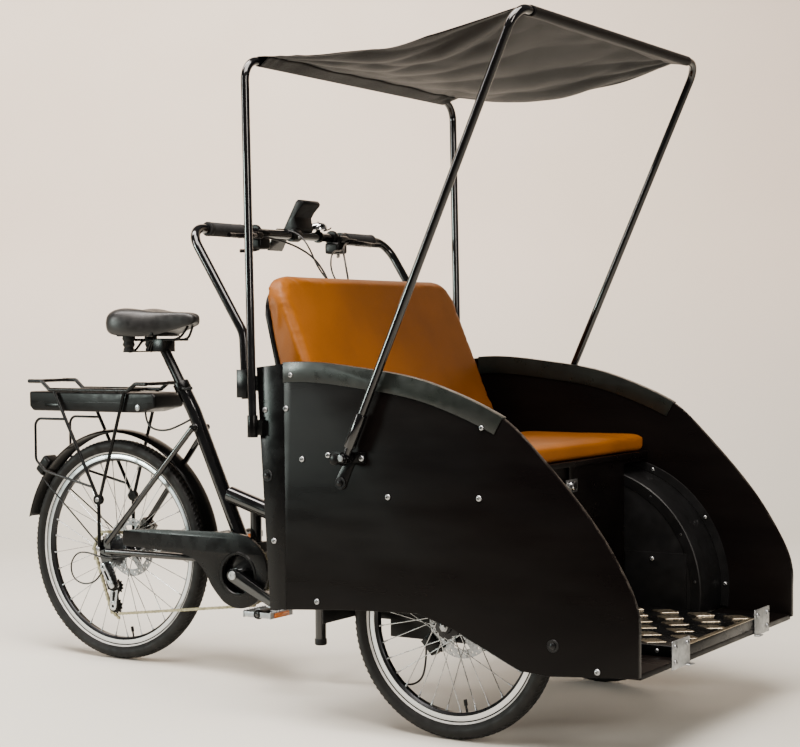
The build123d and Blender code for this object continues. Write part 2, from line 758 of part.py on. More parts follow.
# Sockets, clamps and pivot plates that carry the hoops
hoop_pivot_x = -208.0
hoop_pivot_z = 612.0
with BuildPart() as hoop_fittings:
    rod((front_axle_x - 466, -post_y, 650), (front_axle_x - 466, -post_y, 699.7), 12)
    block(front_axle_x - 470, front_axle_x - 440, -post_y, -panel_outer_y, 655, 690)
    clamp = [(-528, 738), (-528, 802), (-500, 802), (-500, 788), (-461.1, 788), (-459.2, 754), (-500, 754)]
    clamp.append((-500, 738))
    plate([(front_axle_x + px, pz) for px, pz in clamp], -409, 28)
    rod(
        (front_axle_x - 508.6, -bar_half_width, 700),
        (front_axle_x - 513, -bar_half_width, 810),
        bar_radius + fit_gap,
        mode=Mode.SUBTRACT,
    )
    plate(
        [(front_axle_x + px, pz) for px, pz in ((-254, 600), (-254, 624), (-168, 624), (-168, 600))],
        -panel_outer_y,
        5,
    )
    disc(front_axle_x + hoop_pivot_x, hoop_pivot_z, 5, -panel_outer_y, 40)
    disc(front_axle_x + hoop_pivot_x, hoop_pivot_z, 9, -panel_outer_y - 34, 6)
    mirror(about=Plane.XZ)
hoop_fittings.part.label = "hoop_fittings"
export_step(hoop_fittings.part, "parts/hoop_fittings.step")

# Grips, levers, display and bell
bar_x = front_axle_x - 674
bar_bore = bar_radius + fit_gap
with BuildPart() as grips:
    disc(bar_x, bar_z, 17, -225, 130)
    disc(bar_x, bar_z, bar_bore, -200, 200, mode=Mode.SUBTRACT)
    mirror(about=Plane.XZ)
grips.part.label = "grips"
export_step(grips.part, "parts/grips.step")

with BuildPart() as bar_controls:
    disc(bar_x, bar_z, 17, -198, 22)
    block(bar_x, bar_x + 34, -222, -192, bar_z - 20, bar_z - 3)
    rod((bar_x + 38, -200, bar_z - 12), (bar_x + 42, -330, bar_z - 16), 6)
    mirror(about=Plane.XZ)
    disc(bar_x, bar_z, 15, 112, 14)
    rod((bar_x, 105, bar_z + 12), (bar_x, 105, bar_z + 20), 6)
    rod((bar_x, 105, bar_z + 20), (bar_x, 105, bar_z + 38), 24)
    disc(bar_x, bar_z, bar_bore, bar_half_width, 2 * bar_half_width, mode=Mode.SUBTRACT)
bar_controls.part.label = "bar_controls"
export_step(bar_controls.part, "parts/bar_controls.step")

with BuildPart() as display:
    disc(bar_x, bar_z, 17, 14, 34)
    housing = [(-38, 6), (12, 90), (30, 80), (2, 14), (-12, 6)]
    plate([(bar_x + px, bar_z + pz) for px, pz in housing], 36, 78)
    disc(bar_x, bar_z, bar_bore, bar_half_width, 2 * bar_half_width, mode=Mode.SUBTRACT)
display.part.label = "display"
export_step(display.part, "parts/display.step")

# Control cables, from the levers to the wall behind the backrest
with BuildPart() as cables:
    for side in (-1, 1):
        tube(
            [
                (bar_x + 36, side * 188, bar_z - 12),
                (bar_x + 70, side * 110, bar_z - 22),
                (front_axle_x - 548, side * 46, bar_z - 84),
                (front_axle_x - 516, side * 36, bar_z - 220),
                (front_axle_x - 456, side * 36, 780),
                (front_axle_x - 445, side * 36, 700),
                (front_axle_x - 445, side * 36, 425),
            ],
            30,
            2.5,
            0,
        )
cables.part.label = "cables"
export_step(cables.part, "parts/cables.step")

# Front canopy hoop, pivoting on the side panels
with BuildPart() as front_hoop:
    corner_x = 218.0
    corner_z = hoop_top_z + front_hoop_rise
    tube(
        [
            (front_axle_x + hoop_pivot_x, -hoop_y, hoop_pivot_z),
            (front_axle_x + corner_x, -hoop_y, corner_z),
            (front_axle_x + corner_x, hoop_y, corner_z),
            (front_axle_x + hoop_pivot_x, hoop_y, hoop_pivot_z),
        ],
        45,
        hoop_radius,
        0,
    )
    for side in (-1, 1):
        disc(front_axle_x + hoop_pivot_x, hoop_pivot_z, 13, side * hoop_y + 11, 22)
        disc(
            front_axle_x + hoop_pivot_x,
            hoop_pivot_z,
            5 + running_gap,
            side * hoop_y + 30,
            60,
            mode=Mode.SUBTRACT,
        )
front_hoop.part.label = "front_hoop"
export_step(front_hoop.part, "parts/front_hoop.step")

# Canopy cloth between the hoops, with a sleeve on each cross tube
with BuildPart() as canopy_cloth:
    sleeve_in = hoop_radius + fit_gap
    sleeve_out = sleeve_in + 2
    half = 434.0
    sleeve_half = 408.0
    low = hoop_top_z + sleeve_in
    high = corner_z + sleeve_in
    sheet_line = [
        (-478, low),
        (-300, low - 24),
        (-130, low - 32),
        (40, low - 12),
        (corner_x, high),
    ]
    with BuildSketch(upright(half)):
        with BuildLine():
            lower_line = [(front_axle_x + px, pz) for px, pz in sheet_line]
            upper_line = [(px, pz + 2) for px, pz in lower_line]
            Spline(*lower_line)
            Line(lower_line[-1], upper_line[-1])
            Spline(*upper_line[::-1])
            Line(upper_line[0], lower_line[0])
        make_face()
    extrude(amount=2 * half)
    disc(front_axle_x - 478, hoop_top_z, sleeve_out, sleeve_half, 2 * sleeve_half)
    disc(front_axle_x + corner_x, corner_z, sleeve_out, sleeve_half, 2 * sleeve_half)
    disc(front_axle_x - 478, hoop_top_z, sleeve_in, half, 2 * half, mode=Mode.SUBTRACT)
    disc(front_axle_x + corner_x, corner_z, sleeve_in, half, 2 * half, mode=Mode.SUBTRACT)
canopy_cloth.part.label = "canopy_cloth"
export_step(canopy_cloth.part, "parts/canopy_cloth.step")

# Front wheels
with BuildPart() as front_tyre_right:
    tyre_ring(front_axle_x, front_tyre_radius, -wheel_track_half)
front_tyre_right.part.label = "front_tyre_right"
export_step(front_tyre_right.part, "parts/front_tyre_right.step")

with BuildPart() as front_rim_right:
    rim_ring(front_axle_x, front_tyre_radius, -wheel_track_half)
front_rim_right.part.label = "front_rim_right"
export_step(front_rim_right.part, "parts/front_rim_right.step")

with BuildPart() as front_hub_right:
    disc(front_axle_x, front_tyre_radius, 20, -front_disc_y + 4, 80)
    disc(front_axle_x, front_tyre_radius, 28, -wheel_track_half + 30, 4)
    disc(front_axle_x, front_tyre_radius, 28, -wheel_track_half - 24, 4)
    disc(front_axle_x, front_tyre_radius, 80, -front_disc_y + 1, 2)
    spoke_set(front_axle_x, front_tyre_radius, -wheel_track_half, 28, 25, 32)
    disc(
        front_axle_x,
        front_tyre_radius,
        stub_radius + running_gap,
        0,
        stub_end_y + 1,
        mode=Mode.SUBTRACT,
    )
front_hub_right.part.label = "front_hub_right"
export_step(front_hub_right.part, "parts/front_hub_right.step")

with BuildPart() as front_tyre_left:
    add(front_tyre_right.part.mirror(Plane.XZ))
front_tyre_left.part.label = "front_tyre_left"
export_step(front_tyre_left.part, "parts/front_tyre_left.step")

with BuildPart() as front_rim_left:
    add(front_rim_right.part.mirror(Plane.XZ))
front_rim_left.part.label = "front_rim_left"
export_step(front_rim_left.part, "parts/front_rim_left.step")

with BuildPart() as front_hub_left:
    add(front_hub_right.part.mirror(Plane.XZ))
front_hub_left.part.label = "front_hub_left"
export_step(front_hub_left.part, "parts/front_hub_left.step")
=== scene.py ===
import math

import bmesh
import bpy
from mathutils import Matrix, Vector, noise


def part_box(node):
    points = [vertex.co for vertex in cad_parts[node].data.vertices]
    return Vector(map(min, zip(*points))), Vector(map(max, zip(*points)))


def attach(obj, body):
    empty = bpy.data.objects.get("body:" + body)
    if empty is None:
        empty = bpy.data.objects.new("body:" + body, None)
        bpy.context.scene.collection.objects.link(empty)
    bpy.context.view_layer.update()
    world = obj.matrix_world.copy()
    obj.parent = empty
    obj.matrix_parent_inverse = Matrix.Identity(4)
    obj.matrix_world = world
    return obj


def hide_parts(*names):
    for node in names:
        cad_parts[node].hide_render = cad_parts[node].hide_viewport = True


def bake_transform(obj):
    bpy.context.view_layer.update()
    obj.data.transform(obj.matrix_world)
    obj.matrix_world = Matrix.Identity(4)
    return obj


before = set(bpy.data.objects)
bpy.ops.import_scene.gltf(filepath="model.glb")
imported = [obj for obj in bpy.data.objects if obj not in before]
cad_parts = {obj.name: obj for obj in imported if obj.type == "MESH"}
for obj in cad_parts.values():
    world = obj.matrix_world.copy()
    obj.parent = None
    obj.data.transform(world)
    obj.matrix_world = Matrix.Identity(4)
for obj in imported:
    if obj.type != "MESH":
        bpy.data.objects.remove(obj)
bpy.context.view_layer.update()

# Camera: where the photograph was taken from, on the rider's right and ahead of the box, at chest
# height, with a short telephoto view. Its shift is the offset of the optical axis in the frame.
def linked(name, data):
    """A new object in the scene, at the origin."""
    made = bpy.data.objects.new(name, data)
    bpy.context.collection.objects.link(made)
    return made


image_width, image_height = 800, 747
view_angle, view_height, view_roll = math.radians(32.28), math.radians(2.35), math.radians(-0.41)
camera_back = Vector((
    math.sin(view_angle) * math.cos(view_height),
    -math.cos(view_angle) * math.cos(view_height),
    math.sin(view_height),
))
level_right = Vector((math.cos(view_angle), math.sin(view_angle), 0))
level_up = camera_back.cross(level_right)
camera_right = math.cos(view_roll) * level_right + math.sin(view_roll) * level_up
camera_up = camera_back.cross(camera_right)
camera_place = (2.468, -3.6226, 0.8806)
focal_pixels, optical_axis, sensor = 1750.87, (397.39, 405.94), 36
camera = linked("camera", bpy.data.cameras.new("camera"))
camera.matrix_world = Matrix.Translation(camera_place) @ Matrix(
    (camera_right, camera_up, camera_back)
).transposed().to_4x4()
camera.data.sensor_width = sensor
camera.data.lens = focal_pixels / image_width * sensor
camera.data.shift_x = (image_width / 2 - optical_axis[0]) / image_width
camera.data.shift_y = (optical_axis[1] - image_height / 2) / image_width
camera.data.clip_start = 0.1
camera.data.clip_end = 60
bpy.context.scene.camera = camera


# Studio: matt vinyl backdrop that curves up from the floor, in warm pale grey, lit by large soft
# boxes overhead and on both sides. The long side boxes draw the thin bright lines on the tubes.
def linear(hex_colour):
    """An sRGB hex colour as the linear numbers of a shader socket."""
    parts = [int(hex_colour[i:i + 2], 16) / 255 for i in (1, 3, 5)]
    return [c / 12.92 if c <= 0.04045 else ((c + 0.055) / 1.055) ** 2.4 for c in parts] + [1.0]


def add_node(tree, kind, inputs=None, **settings):
    """Adds a node with its settings; each input takes a value or another node's output."""
    made = tree.nodes.new(kind)
    for key, value in settings.items():
        setattr(made, key, value)
    for key, value in (inputs or {}).items():
        if isinstance(value, bpy.types.NodeSocket):
            tree.links.new(value, made.inputs[key])
        else:
            made.inputs[key].default_value = value
    return made


def new_finish(name, colour, sockets):
    """A material with its base colour and the constant sockets of its shader."""
    made = bpy.data.materials.new(name)
    made.use_nodes = True
    shader = made.node_tree.nodes["Principled BSDF"]
    shader.inputs["Base Color"].default_value = linear(colour)
    for key, value in sockets.items():
        shader.inputs[key].default_value = value
    return made, made.node_tree, shader


def mixed(tree, factor, first, second):
    """A colour that runs from the first to the second, each a hex value or another node's output."""
    first, second = (linear(colour) if isinstance(colour, str) else colour for colour in (first, second))
    return add_node(tree, "ShaderNodeMix", {"Factor": factor, 6: first, 7: second}, data_type="RGBA").outputs[2]


def add_relief(tree, shader, height, strength, depth):
    """Gives a shader the relief of a height, depth metres deep."""
    bump = add_node(tree, "ShaderNodeBump", {"Height": height, "Strength": strength, "Distance": depth})
    tree.links.new(bump.outputs["Normal"], shader.inputs["Normal"])


def mottled(name, colour, second, patch_mm, grain_mm, grain_depth_mm, gloss, sockets=None, stretch=(1, 1, 1)):
    """A finish whose colour drifts in patches, with uneven gloss (low, high) and a fine grain."""
    made, tree, shader = new_finish(name, colour, sockets or {})
    place = add_node(tree, "ShaderNodeTexCoord").outputs["Object"]
    drawn = add_node(tree, "ShaderNodeMapping", {"Vector": place, "Scale": stretch}).outputs["Vector"]
    patches = add_node(
        tree, "ShaderNodeTexNoise", {"Vector": drawn, "Scale": 1000 / patch_mm, "Detail": 4.0, "Roughness": 0.6}
    ).outputs["Fac"]
    spread = add_node(tree, "ShaderNodeMapRange", {"Value": patches, "From Min": 0.36, "From Max": 0.66})
    tree.links.new(mixed(tree, spread.outputs[0], colour, second), shader.inputs["Base Color"])
    wear = add_node(
        tree, "ShaderNodeTexNoise", {"Vector": drawn, "Scale": 2300 / patch_mm, "Detail": 3.0}
    ).outputs["Fac"]
    level = add_node(
        tree,
        "ShaderNodeMapRange",
        {"Value": wear, "From Min": 0.35, "From Max": 0.68, "To Min": gloss[0], "To Max": gloss[1]},
    )
    tree.links.new(level.outputs[0], shader.inputs["Roughness"])
    grain = add_node(
        tree, "ShaderNodeTexNoise", {"Vector": drawn, "Scale": 1000 / grain_mm, "Detail": 2.0}
    ).outputs["Fac"]
    add_relief(tree, shader, grain, 1.0, grain_depth_mm / 1000)
    return made


def mesh_piece(name, data, sharp_angle):
    """An object of a mesh, smooth except where it turns sharply."""
    data.name = name
    data.shade_smooth()
    data.set_sharp_from_angle(angle=math.radians(sharp_angle))
    return linked(name, data)


def piece_from(shape, name, sharp_angle=35):
    """An object of a bmesh, which is used up."""
    data = bpy.data.meshes.new(name)
    shape.to_mesh(data)
    shape.free()
    return mesh_piece(name, data, sharp_angle)


floor_reach, floor_depth, wall_height, bend, half_backdrop = 9.0, 4.6, 5.0, 1.6, 12
toward_camera = camera_back.xy.to_3d().normalized()
backdrop_line = [(floor_reach, 0.0), (-floor_depth + bend, 0.0)]
for step in range(1, 16):
    turn = math.radians(6 * step)
    backdrop_line.append((-floor_depth + bend - bend * math.sin(turn), bend - bend * math.cos(turn)))
backdrop_line.append((-floor_depth, wall_height))
backdrop = bmesh.new()
edges = []
for distance, height in backdrop_line:
    edges.append([
        backdrop.verts.new(toward_camera * distance + level_right * side + Vector((0, 0, height)))
        for side in (-half_backdrop, half_backdrop)
    ])
for near, far in zip(edges, edges[1:]):
    backdrop.faces.new((near[0], near[1], far[1], far[0]))
backdrop = piece_from(backdrop, "backdrop", 60)
backdrop_vinyl = mottled("backdrop_matt_vinyl", "#EBDCCB", "#E8D8C7", 900, 8, 0.05, (0.55, 0.7))
vinyl_tree = backdrop_vinyl.node_tree
vinyl_shader = vinyl_tree.nodes["Principled BSDF"]
wall_tint = vinyl_shader.inputs["Base Color"].links[0].from_socket
vinyl_place = add_node(vinyl_tree, "ShaderNodeTexCoord").outputs["Object"]
vinyl_height = add_node(vinyl_tree, "ShaderNodeSeparateXYZ", {"Vector": vinyl_place}).outputs["Z"]
rise = add_node(vinyl_tree, "ShaderNodeMapRange", {"Value": vinyl_height, "From Min": 0.02, "From Max": 1.3})
floor_tint = mixed(vinyl_tree, rise.outputs[0], "#CFCDC3", wall_tint)
# Painted shade: the floor's colour darkens toward the camera to a dim grey, standing in for the unlit room, so that the
# metal and the film mirror a dim room.
reach = add_node(
    vinyl_tree, "ShaderNodeVectorMath", {0: vinyl_place, 1: toward_camera}, operation="DOT_PRODUCT"
).outputs["Value"]
fade = add_node(vinyl_tree, "ShaderNodeMapRange", {"Value": reach, "From Min": 1.3, "From Max": 3.4})
painted_room_shade = mixed(vinyl_tree, fade.outputs[0], floor_tint, "#5A5753")
vinyl_tree.links.new(painted_room_shade, vinyl_shader.inputs["Base Color"])
# Seen from its back the vinyl is clear, so a view from behind or from below still shows the object.
from_back = add_node(vinyl_tree, "ShaderNodeNewGeometry").outputs["Backfacing"]
clear = add_node(vinyl_tree, "ShaderNodeBsdfTransparent").outputs[0]
one_sided = add_node(vinyl_tree, "ShaderNodeMixShader", {0: from_back, 1: vinyl_shader.outputs[0], 2: clear})
vinyl_tree.links.new(one_sided.outputs[0], vinyl_tree.nodes["Material Output"].inputs["Surface"])
backdrop.data.materials.append(backdrop_vinyl)

# Each light: its place, what it aims at, its two sides in metres, its watts and its tint. The panel
# glow shows only as a soft sheen in the side panel.
for name, spot, aim, size, power, tint in (
    ("overhead_softbox", (0.9, -1.2, 3.7), (0.1, 0, 0.6), (3.0, 2.2), 380, "#FFF6EE"),
    ("right_softbox", (4.4, -2.4, 2.2), (0.2, 0, 0.8), (0.7, 2.2), 120, "#FFF4EA"),
    ("left_softbox", (-3.4, -3.4, 2.0), (-0.3, 0, 0.7), (0.6, 2.4), 120, "#FDF8F4"),
    ("panel_glow", (-3.7, -3.8, 1.45), (-0.1, -0.45, 0.72), (1.2, 0.7), 110, "#D8F4E8"),
    ("backdrop_wash", (-1.5, -0.6, 4.4), (-2.6, 3.6, 1.2), (3.4, 1.6), 430, "#FFF6F0"),
):
    lamp = bpy.data.lights.new(name, "AREA")
    lamp.shape = "RECTANGLE"
    lamp.size, lamp.size_y = size
    lamp.energy = power
    lamp.color = linear(tint)[:3]
    holder = linked(name, lamp)
    holder.location = spot
    holder.rotation_euler = (Vector(aim) - Vector(spot)).to_track_quat("-Z", "Y").to_euler()
    holder.visible_diffuse = name != "panel_glow"
sky = bpy.data.worlds.new("studio")
sky.use_nodes = True
sky.node_tree.nodes["Background"].inputs["Color"].default_value = linear("#EDE6E1")
sky.node_tree.nodes["Background"].inputs["Strength"].default_value = 0.15
bpy.context.scene.world = sky

# Bicycle frame: welded steel tube in gloss black powder coat, which flows out to a fine orange peel
# and mirrors the lights as thin lines; the stays, axle and steering frame share it.
gloss_black = mottled(
    "gloss_black_powder_coat", "#050506", "#080809", 120, 1.6, 0.012, (0.10, 0.2),
    {"Specular IOR Level": 0.3, "Coat Weight": 0.6, "Coat Roughness": 0.04},
)
satin_black = mottled(
    "satin_black_paint", "#050505", "#080809", 90, 1.2, 0.02, (0.2, 0.32), {"Specular IOR Level": 0.15}
)


def paint(node, finish):
    """Gives a CAD node its finish."""
    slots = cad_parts[node].data.materials
    slots.clear()
    slots.append(finish)


def finish_piece(piece, finish, body, *nodes):
    """Gives a piece its finish and body, and hides the CAD nodes it stands for."""
    if not piece.data.materials:
        piece.data.materials.append(finish)
    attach(piece, body)
    if nodes:
        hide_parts(*nodes)
    return piece


def coated(piece, finish):
    """A part of a larger piece, with its own finish."""
    piece.data.materials.append(finish)
    return piece


def mesh_of(holder):
    """A plain mesh of what an object's curve or modifiers make."""
    return bpy.data.meshes.new_from_object(holder.evaluated_get(bpy.context.evaluated_depsgraph_get()))


def applied(piece):
    """A piece with its modifiers applied."""
    ready = mesh_of(piece)
    piece.modifiers.clear()
    piece.data = ready
    return piece


def broken(draft, width, segments=2):
    """A piece with its sharp edges broken, in place of the one given."""
    edge = draft.modifiers.new("broken_edge", "BEVEL")
    edge.width = width
    edge.segments = segments
    edge.angle_limit = math.radians(32)
    edge.harden_normals = False
    applied(draft).data.shade_smooth()
    draft.data.set_sharp_from_angle(angle=math.radians(32))
    return draft


def solid_copy(node):
    """A bmesh of a CAD solid with its points joined and its flat faces whole."""
    shape = bmesh.new()
    shape.from_mesh(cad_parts[node].data)
    bmesh.ops.remove_doubles(shape, verts=shape.verts, dist=5e-6)
    bmesh.ops.dissolve_limit(shape, angle_limit=math.radians(0.6), verts=shape.verts, edges=shape.edges)
    return shape


def eased(node, width, finish, body, segments=2):
    """A CAD solid with its sharp edges broken, standing for the plain one."""
    draft = piece_from(solid_copy(node), node + "_dressed", 30)
    draft.data.materials.clear()
    return finish_piece(broken(draft, width, segments), finish, body, node)


def turned(name, profile, centre=(0, 0, 0), axis=(0, 1, 0), steps=96, bands=None, sharp_angle=35):
    """A part turned about an axis through centre, from (radius, offset) pairs in order."""
    turn = Vector(axis).to_track_quat("Z", "Y").to_matrix()
    shape = bmesh.new()
    wrap = shape.loops.layers.uv.new("UVMap")
    rings = []
    closed = profile[0] == profile[-1]
    for radius, offset in profile[:-1] if closed else profile:
        count = steps if radius > 1e-6 else 1
        rings.append([
            shape.verts.new(Vector(centre) + turn @ Vector((
                radius * math.cos(2 * math.pi * k / steps), radius * math.sin(2 * math.pi * k / steps), offset
            )))
            for k in range(count)
        ])
    if closed:
        rings.append(rings[0])
    along = 0.0
    for number, (low, high) in enumerate(zip(rings, rings[1:])):
        length = math.dist(profile[number], profile[number + 1])
        reach = max(profile[number][0], profile[number + 1][0]) * 2 * math.pi / steps
        for k in range(steps):
            corners = [
                (low[k % len(low)], k, along),
                (low[(k + 1) % len(low)], k + 1, along),
                (high[(k + 1) % len(high)], k + 1, along + length),
                (high[k % len(high)], k, along + length),
            ]
            kept = [c for i, c in enumerate(corners) if c[0] not in [d[0] for d in corners[:i]]]
            if len(kept) > 2:
                face = shape.faces.new([c[0] for c in kept])
                face.material_index = bands[number] if bands else 0
                for loop, corner in zip(face.loops, kept):
                    loop[wrap].uv = (corner[1] * reach, corner[2])
        along += length
    bmesh.ops.recalc_face_normals(shape, faces=shape.faces)
    return piece_from(shape, name, sharp_angle)


def round_line(name, points, radius, round_steps, line_steps):
    """A round curve along one smooth line that starts and ends on its points."""
    curve = bpy.data.curves.new(name, "CURVE")
    curve.dimensions = "3D"
    curve.bevel_depth = radius
    curve.bevel_resolution = round_steps
    line = curve.splines.new("NURBS")
    line.points.add(len(points) - 1)
    for spot, point in zip(line.points, points):
        spot.co = (*point, 1)
    line.order_u = 3
    line.use_endpoint_u = True
    line.resolution_u = line_steps
    return curve


def swept(name, points, radius, steps=12):
    """A round bar or wire that follows a line of points, as a mesh."""
    curve = round_line(name + "_line", points, radius, steps // 4 - 1, 8)
    curve.use_fill_caps = True
    holder = linked(name + "_line", curve)
    data = mesh_of(holder)
    bpy.data.objects.remove(holder)
    return mesh_piece(name, data, 50)


def joined(name, pieces):
    """Several meshes of one body as one piece, with their finishes kept."""
    data = bpy.data.meshes.new(name)
    shape = bmesh.new()
    for piece in pieces:
        for finish in piece.data.materials:
            if finish.name not in data.materials:
                data.materials.append(finish)
        places = [data.materials.find(finish.name) for finish in piece.data.materials] or [0]
        start = len(shape.faces)
        shape.from_mesh(piece.data)
        shape.faces.ensure_lookup_table()
        for face in shape.faces[start:]:
            face.material_index = places[min(face.material_index, len(places) - 1)]
        bpy.data.objects.remove(piece)
    shape.to_mesh(data)
    shape.free()
    return linked(name, data)


def cord(name, points, diameter, length, finish, body, *nodes):
    """A hose or housing that leaves the object and goes back into it, on one smooth curve."""
    made = finish_piece(linked(name, round_line(name, points, diameter / 2, 3, 10)), finish, body, *nodes)
    return made


for node in ("main_frame", "rear_stays", "steering_frame"):
    paint(node, gloss_black)
rear_axle = Vector((-0.7177, 0, 0.300))
front_axle_x, front_radius = 0.5493, 0.250


def lofted(rows, closed=True, caps=True, looped=False):
    """A bmesh skin over rows of points: closed round each row, capped at its ends or run back to the first."""
    shape = bmesh.new()
    rows = [[shape.verts.new(point) for point in row] for row in rows]
    for near, far in zip(rows, rows[1:] + rows[:1] if looped else rows[1:]):
        for k in range(len(near) if closed else len(near) - 1):
            after = (k + 1) % len(near)
            shape.faces.new((near[k], near[after], far[after], far[k]))
    if caps:
        shape.faces.new(rows[0][::-1])
        shape.faces.new(rows[-1])
    bmesh.ops.recalc_face_normals(shape, faces=shape.faces)
    return shape


def weld(name, centre, axis, radius):
    """A weld bead round a tube, laid in small overlapping steps."""
    turn = Vector(axis).to_track_quat("Z", "Y").to_matrix()
    bead, steps = 0.0022, 72
    rings = []
    for k in range(steps):
        angle = 2 * math.pi * k / steps
        swell = bead * (1 + 0.22 * math.sin(angle * 24))
        out = Vector((math.cos(angle), math.sin(angle), 0))
        rings.append([
            Vector(centre) + turn @ (out * (radius + swell * math.cos(t)) + Vector((0, 0, swell * math.sin(t))))
            for t in (0, 1.05, 2.1, 3.14, 4.19, 5.24)
        ])
    return piece_from(lofted(rings, caps=False, looped=True), name, 80)


seat_tube_top = rear_axle + Vector((0.229, 0, 0.435))
seat_tube_line = (Vector((0.262, 0, 0.680)) - Vector((0.452, 0, 0.268))).normalized()
stay_joint = rear_axle + Vector((0.279, 0, 0.338))
beads = [
    weld("bead", stay_joint + seat_tube_line * 0.004, (0, 1, 0), 0.0088),
    weld("bead", stay_joint + Vector((0, 0.020, 0)), (0, 1, 0), 0.009),
    weld("bead", stay_joint + Vector((0, -0.020, 0)), (0, 1, 0), 0.009),
    weld("bead", (0.4893, 0, 0.3685), (1, 0, 0), 0.0225),
]
finish_piece(joined("frame_weld_beads", beads), gloss_black, "rear_frame")
rubber = mottled("moulded_rubber", "#0E0E0E", "#151414", 60, 0.8, 0.03, (0.62, 0.8), {"Specular IOR Level": 0.3})
eased("leg_tip", 0.002, rubber, "rear_frame")


# Wheels: butyl tyres with a block tread and a thin reflective line, double-wall alloy rims with
# a machined brake track, 32 stainless spokes with plated nipples, and disc rotors with cut slots.
def open_tree(name, inputs):
    """A geometry tree with its inputs, each a name and a kind, and one geometry out."""
    tree = bpy.data.node_groups.new(name, "GeometryNodeTree")
    for label, kind in inputs:
        tree.interface.new_socket(label, in_out="INPUT", socket_type="NodeSocket" + kind)
    tree.interface.new_socket("Made", in_out="OUTPUT", socket_type="NodeSocketGeometry")
    return tree, add_node(tree, "NodeGroupInput").outputs


def close_tree(tree, placed, finish):
    """Makes the placed copies real, gives them their finish and sends them out."""
    solid = add_node(tree, "GeometryNodeRealizeInstances", {"Geometry": placed.outputs[0]})
    painted = add_node(tree, "GeometryNodeSetMaterial", {"Geometry": solid.outputs[0], "Material": finish})
    add_node(tree, "NodeGroupOutput", {"Made": painted.outputs[0]})
    return tree


def placing_tree():
    """Puts a small part on every point, turned and stretched as the point says."""
    tree, given = open_tree("placed_parts", (("Points", "Geometry"), ("Part", "Object"), ("Finish", "Material")))
    part = add_node(tree, "GeometryNodeObjectInfo", {"Object": given["Part"]}).outputs["Geometry"]
    turn = add_node(tree, "GeometryNodeInputNamedAttribute", {"Name": "turn"}, data_type="FLOAT_VECTOR")
    stretch = add_node(tree, "GeometryNodeInputNamedAttribute", {"Name": "stretch"}, data_type="FLOAT_VECTOR")
    rotation = add_node(tree, "FunctionNodeEulerToRotation", {"Euler": turn.outputs["Attribute"]})
    placed = add_node(tree, "GeometryNodeInstanceOnPoints", {
        "Points": given["Points"], "Instance": part, "Rotation": rotation.outputs[0],
        "Scale": stretch.outputs["Attribute"],
    })
    return close_tree(tree, placed, given["Finish"])


placed_parts = placing_tree()


def made_plain(name, holder, tree, inputs, sharp_angle=35):
    """Runs a geometry tree on an object and returns the result as a plain mesh."""
    run = holder.modifiers.new("tree", "NODES")
    run.node_group = tree
    for item in tree.interface.items_tree:
        if item.in_out == "INPUT" and item.name in inputs:
            run[item.identifier] = inputs[item.name]
    bpy.context.view_layer.update()
    data = mesh_of(holder)
    bpy.data.objects.remove(holder)
    data.materials.clear()
    data.materials.append(inputs["Finish"])
    return mesh_piece(name, data, sharp_angle)


def set_parts(name, part, spots, finish, body=None):
    """Sets copies of a small part, which is used up, at spots of (place, direction or turn, stretch)."""
    points = bpy.data.meshes.new(name)
    points.from_pydata([spot[0] for spot in spots], [], [])
    turn = points.attributes.new("turn", "FLOAT_VECTOR", "POINT")
    stretch = points.attributes.new("stretch", "FLOAT_VECTOR", "POINT")
    for k, spot in enumerate(spots):
        facing = spot[1]
        if isinstance(facing, Matrix):
            turn.data[k].vector = facing.to_euler()
        else:
            turn.data[k].vector = Vector(facing).to_track_quat("Z", "Y").to_euler()
        stretch.data[k].vector = spot[2] if len(spot) > 2 else (1, 1, 1)
    made = made_plain(name, linked(name + "_points", points), placed_parts, {"Part": part, "Finish": finish})
    bpy.data.objects.remove(part)
    if body:
        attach(made, body)
    return made


def flat_plate(name, outlines, thickness, origin, normal, x_axis=None):
    """A flat plate from closed outlines (the first is the rim, others are holes), then placed."""
    curve = bpy.data.curves.new(name, "CURVE")
    curve.dimensions = "2D"
    curve.fill_mode = "BOTH"
    curve.extrude = thickness / 2
    for outline in outlines:
        line = curve.splines.new("POLY")
        line.points.add(len(outline) - 1)
        for spot, point in zip(line.points, outline):
            spot.co = (*point, 0, 1)
        line.use_cyclic_u = True
    holder = linked(name, curve)
    data = mesh_of(holder)
    bpy.data.objects.remove(holder)
    shape = bmesh.new()
    shape.from_mesh(data)
    bpy.data.meshes.remove(data)
    bmesh.ops.remove_doubles(shape, verts=shape.verts, dist=1e-6)
    z = Vector(normal).normalized()
    x = Vector(x_axis).normalized() if x_axis else Vector((0, 0, 1)).cross(z).normalized()
    if x.length < 0.5:
        x = Vector((1, 0, 0))
    frame_turn = Matrix((x, z.cross(x), z)).transposed().to_4x4()
    bmesh.ops.transform(shape, matrix=Matrix.Translation(origin) @ frame_turn, verts=shape.verts)
    bmesh.ops.recalc_face_normals(shape, faces=shape.faces)
    return piece_from(shape, name, 30)


def polar(reach, angle, x=0.0, y=0.0):
    """The point at a reach and an angle from another."""
    return x + reach * math.cos(angle), y + reach * math.sin(angle)


def circle_line(x, y, radius, steps=48):
    """A closed circle for a plate's outline."""
    return [polar(radius, 2 * math.pi * k / steps, x, y) for k in range(steps)]


def smooth_line(points, parts):
    """A Catmull-Rom line through points, each span cut in parts."""
    padded = [points[0], *points, points[-1]]
    line = []
    for a, b, c, d in zip(padded, padded[1:], padded[2:], padded[3:]):
        for k in range(parts):
            t = k / parts
            line.append(tuple(
                0.5 * (2 * q + (r - p) * t + (2 * p - 5 * q + 4 * r - s) * t * t + (3 * q - p - 3 * r + s) * t ** 3)
                for p, q, r, s in zip(a, b, c, d)
            ))
    return line + [points[-1]]


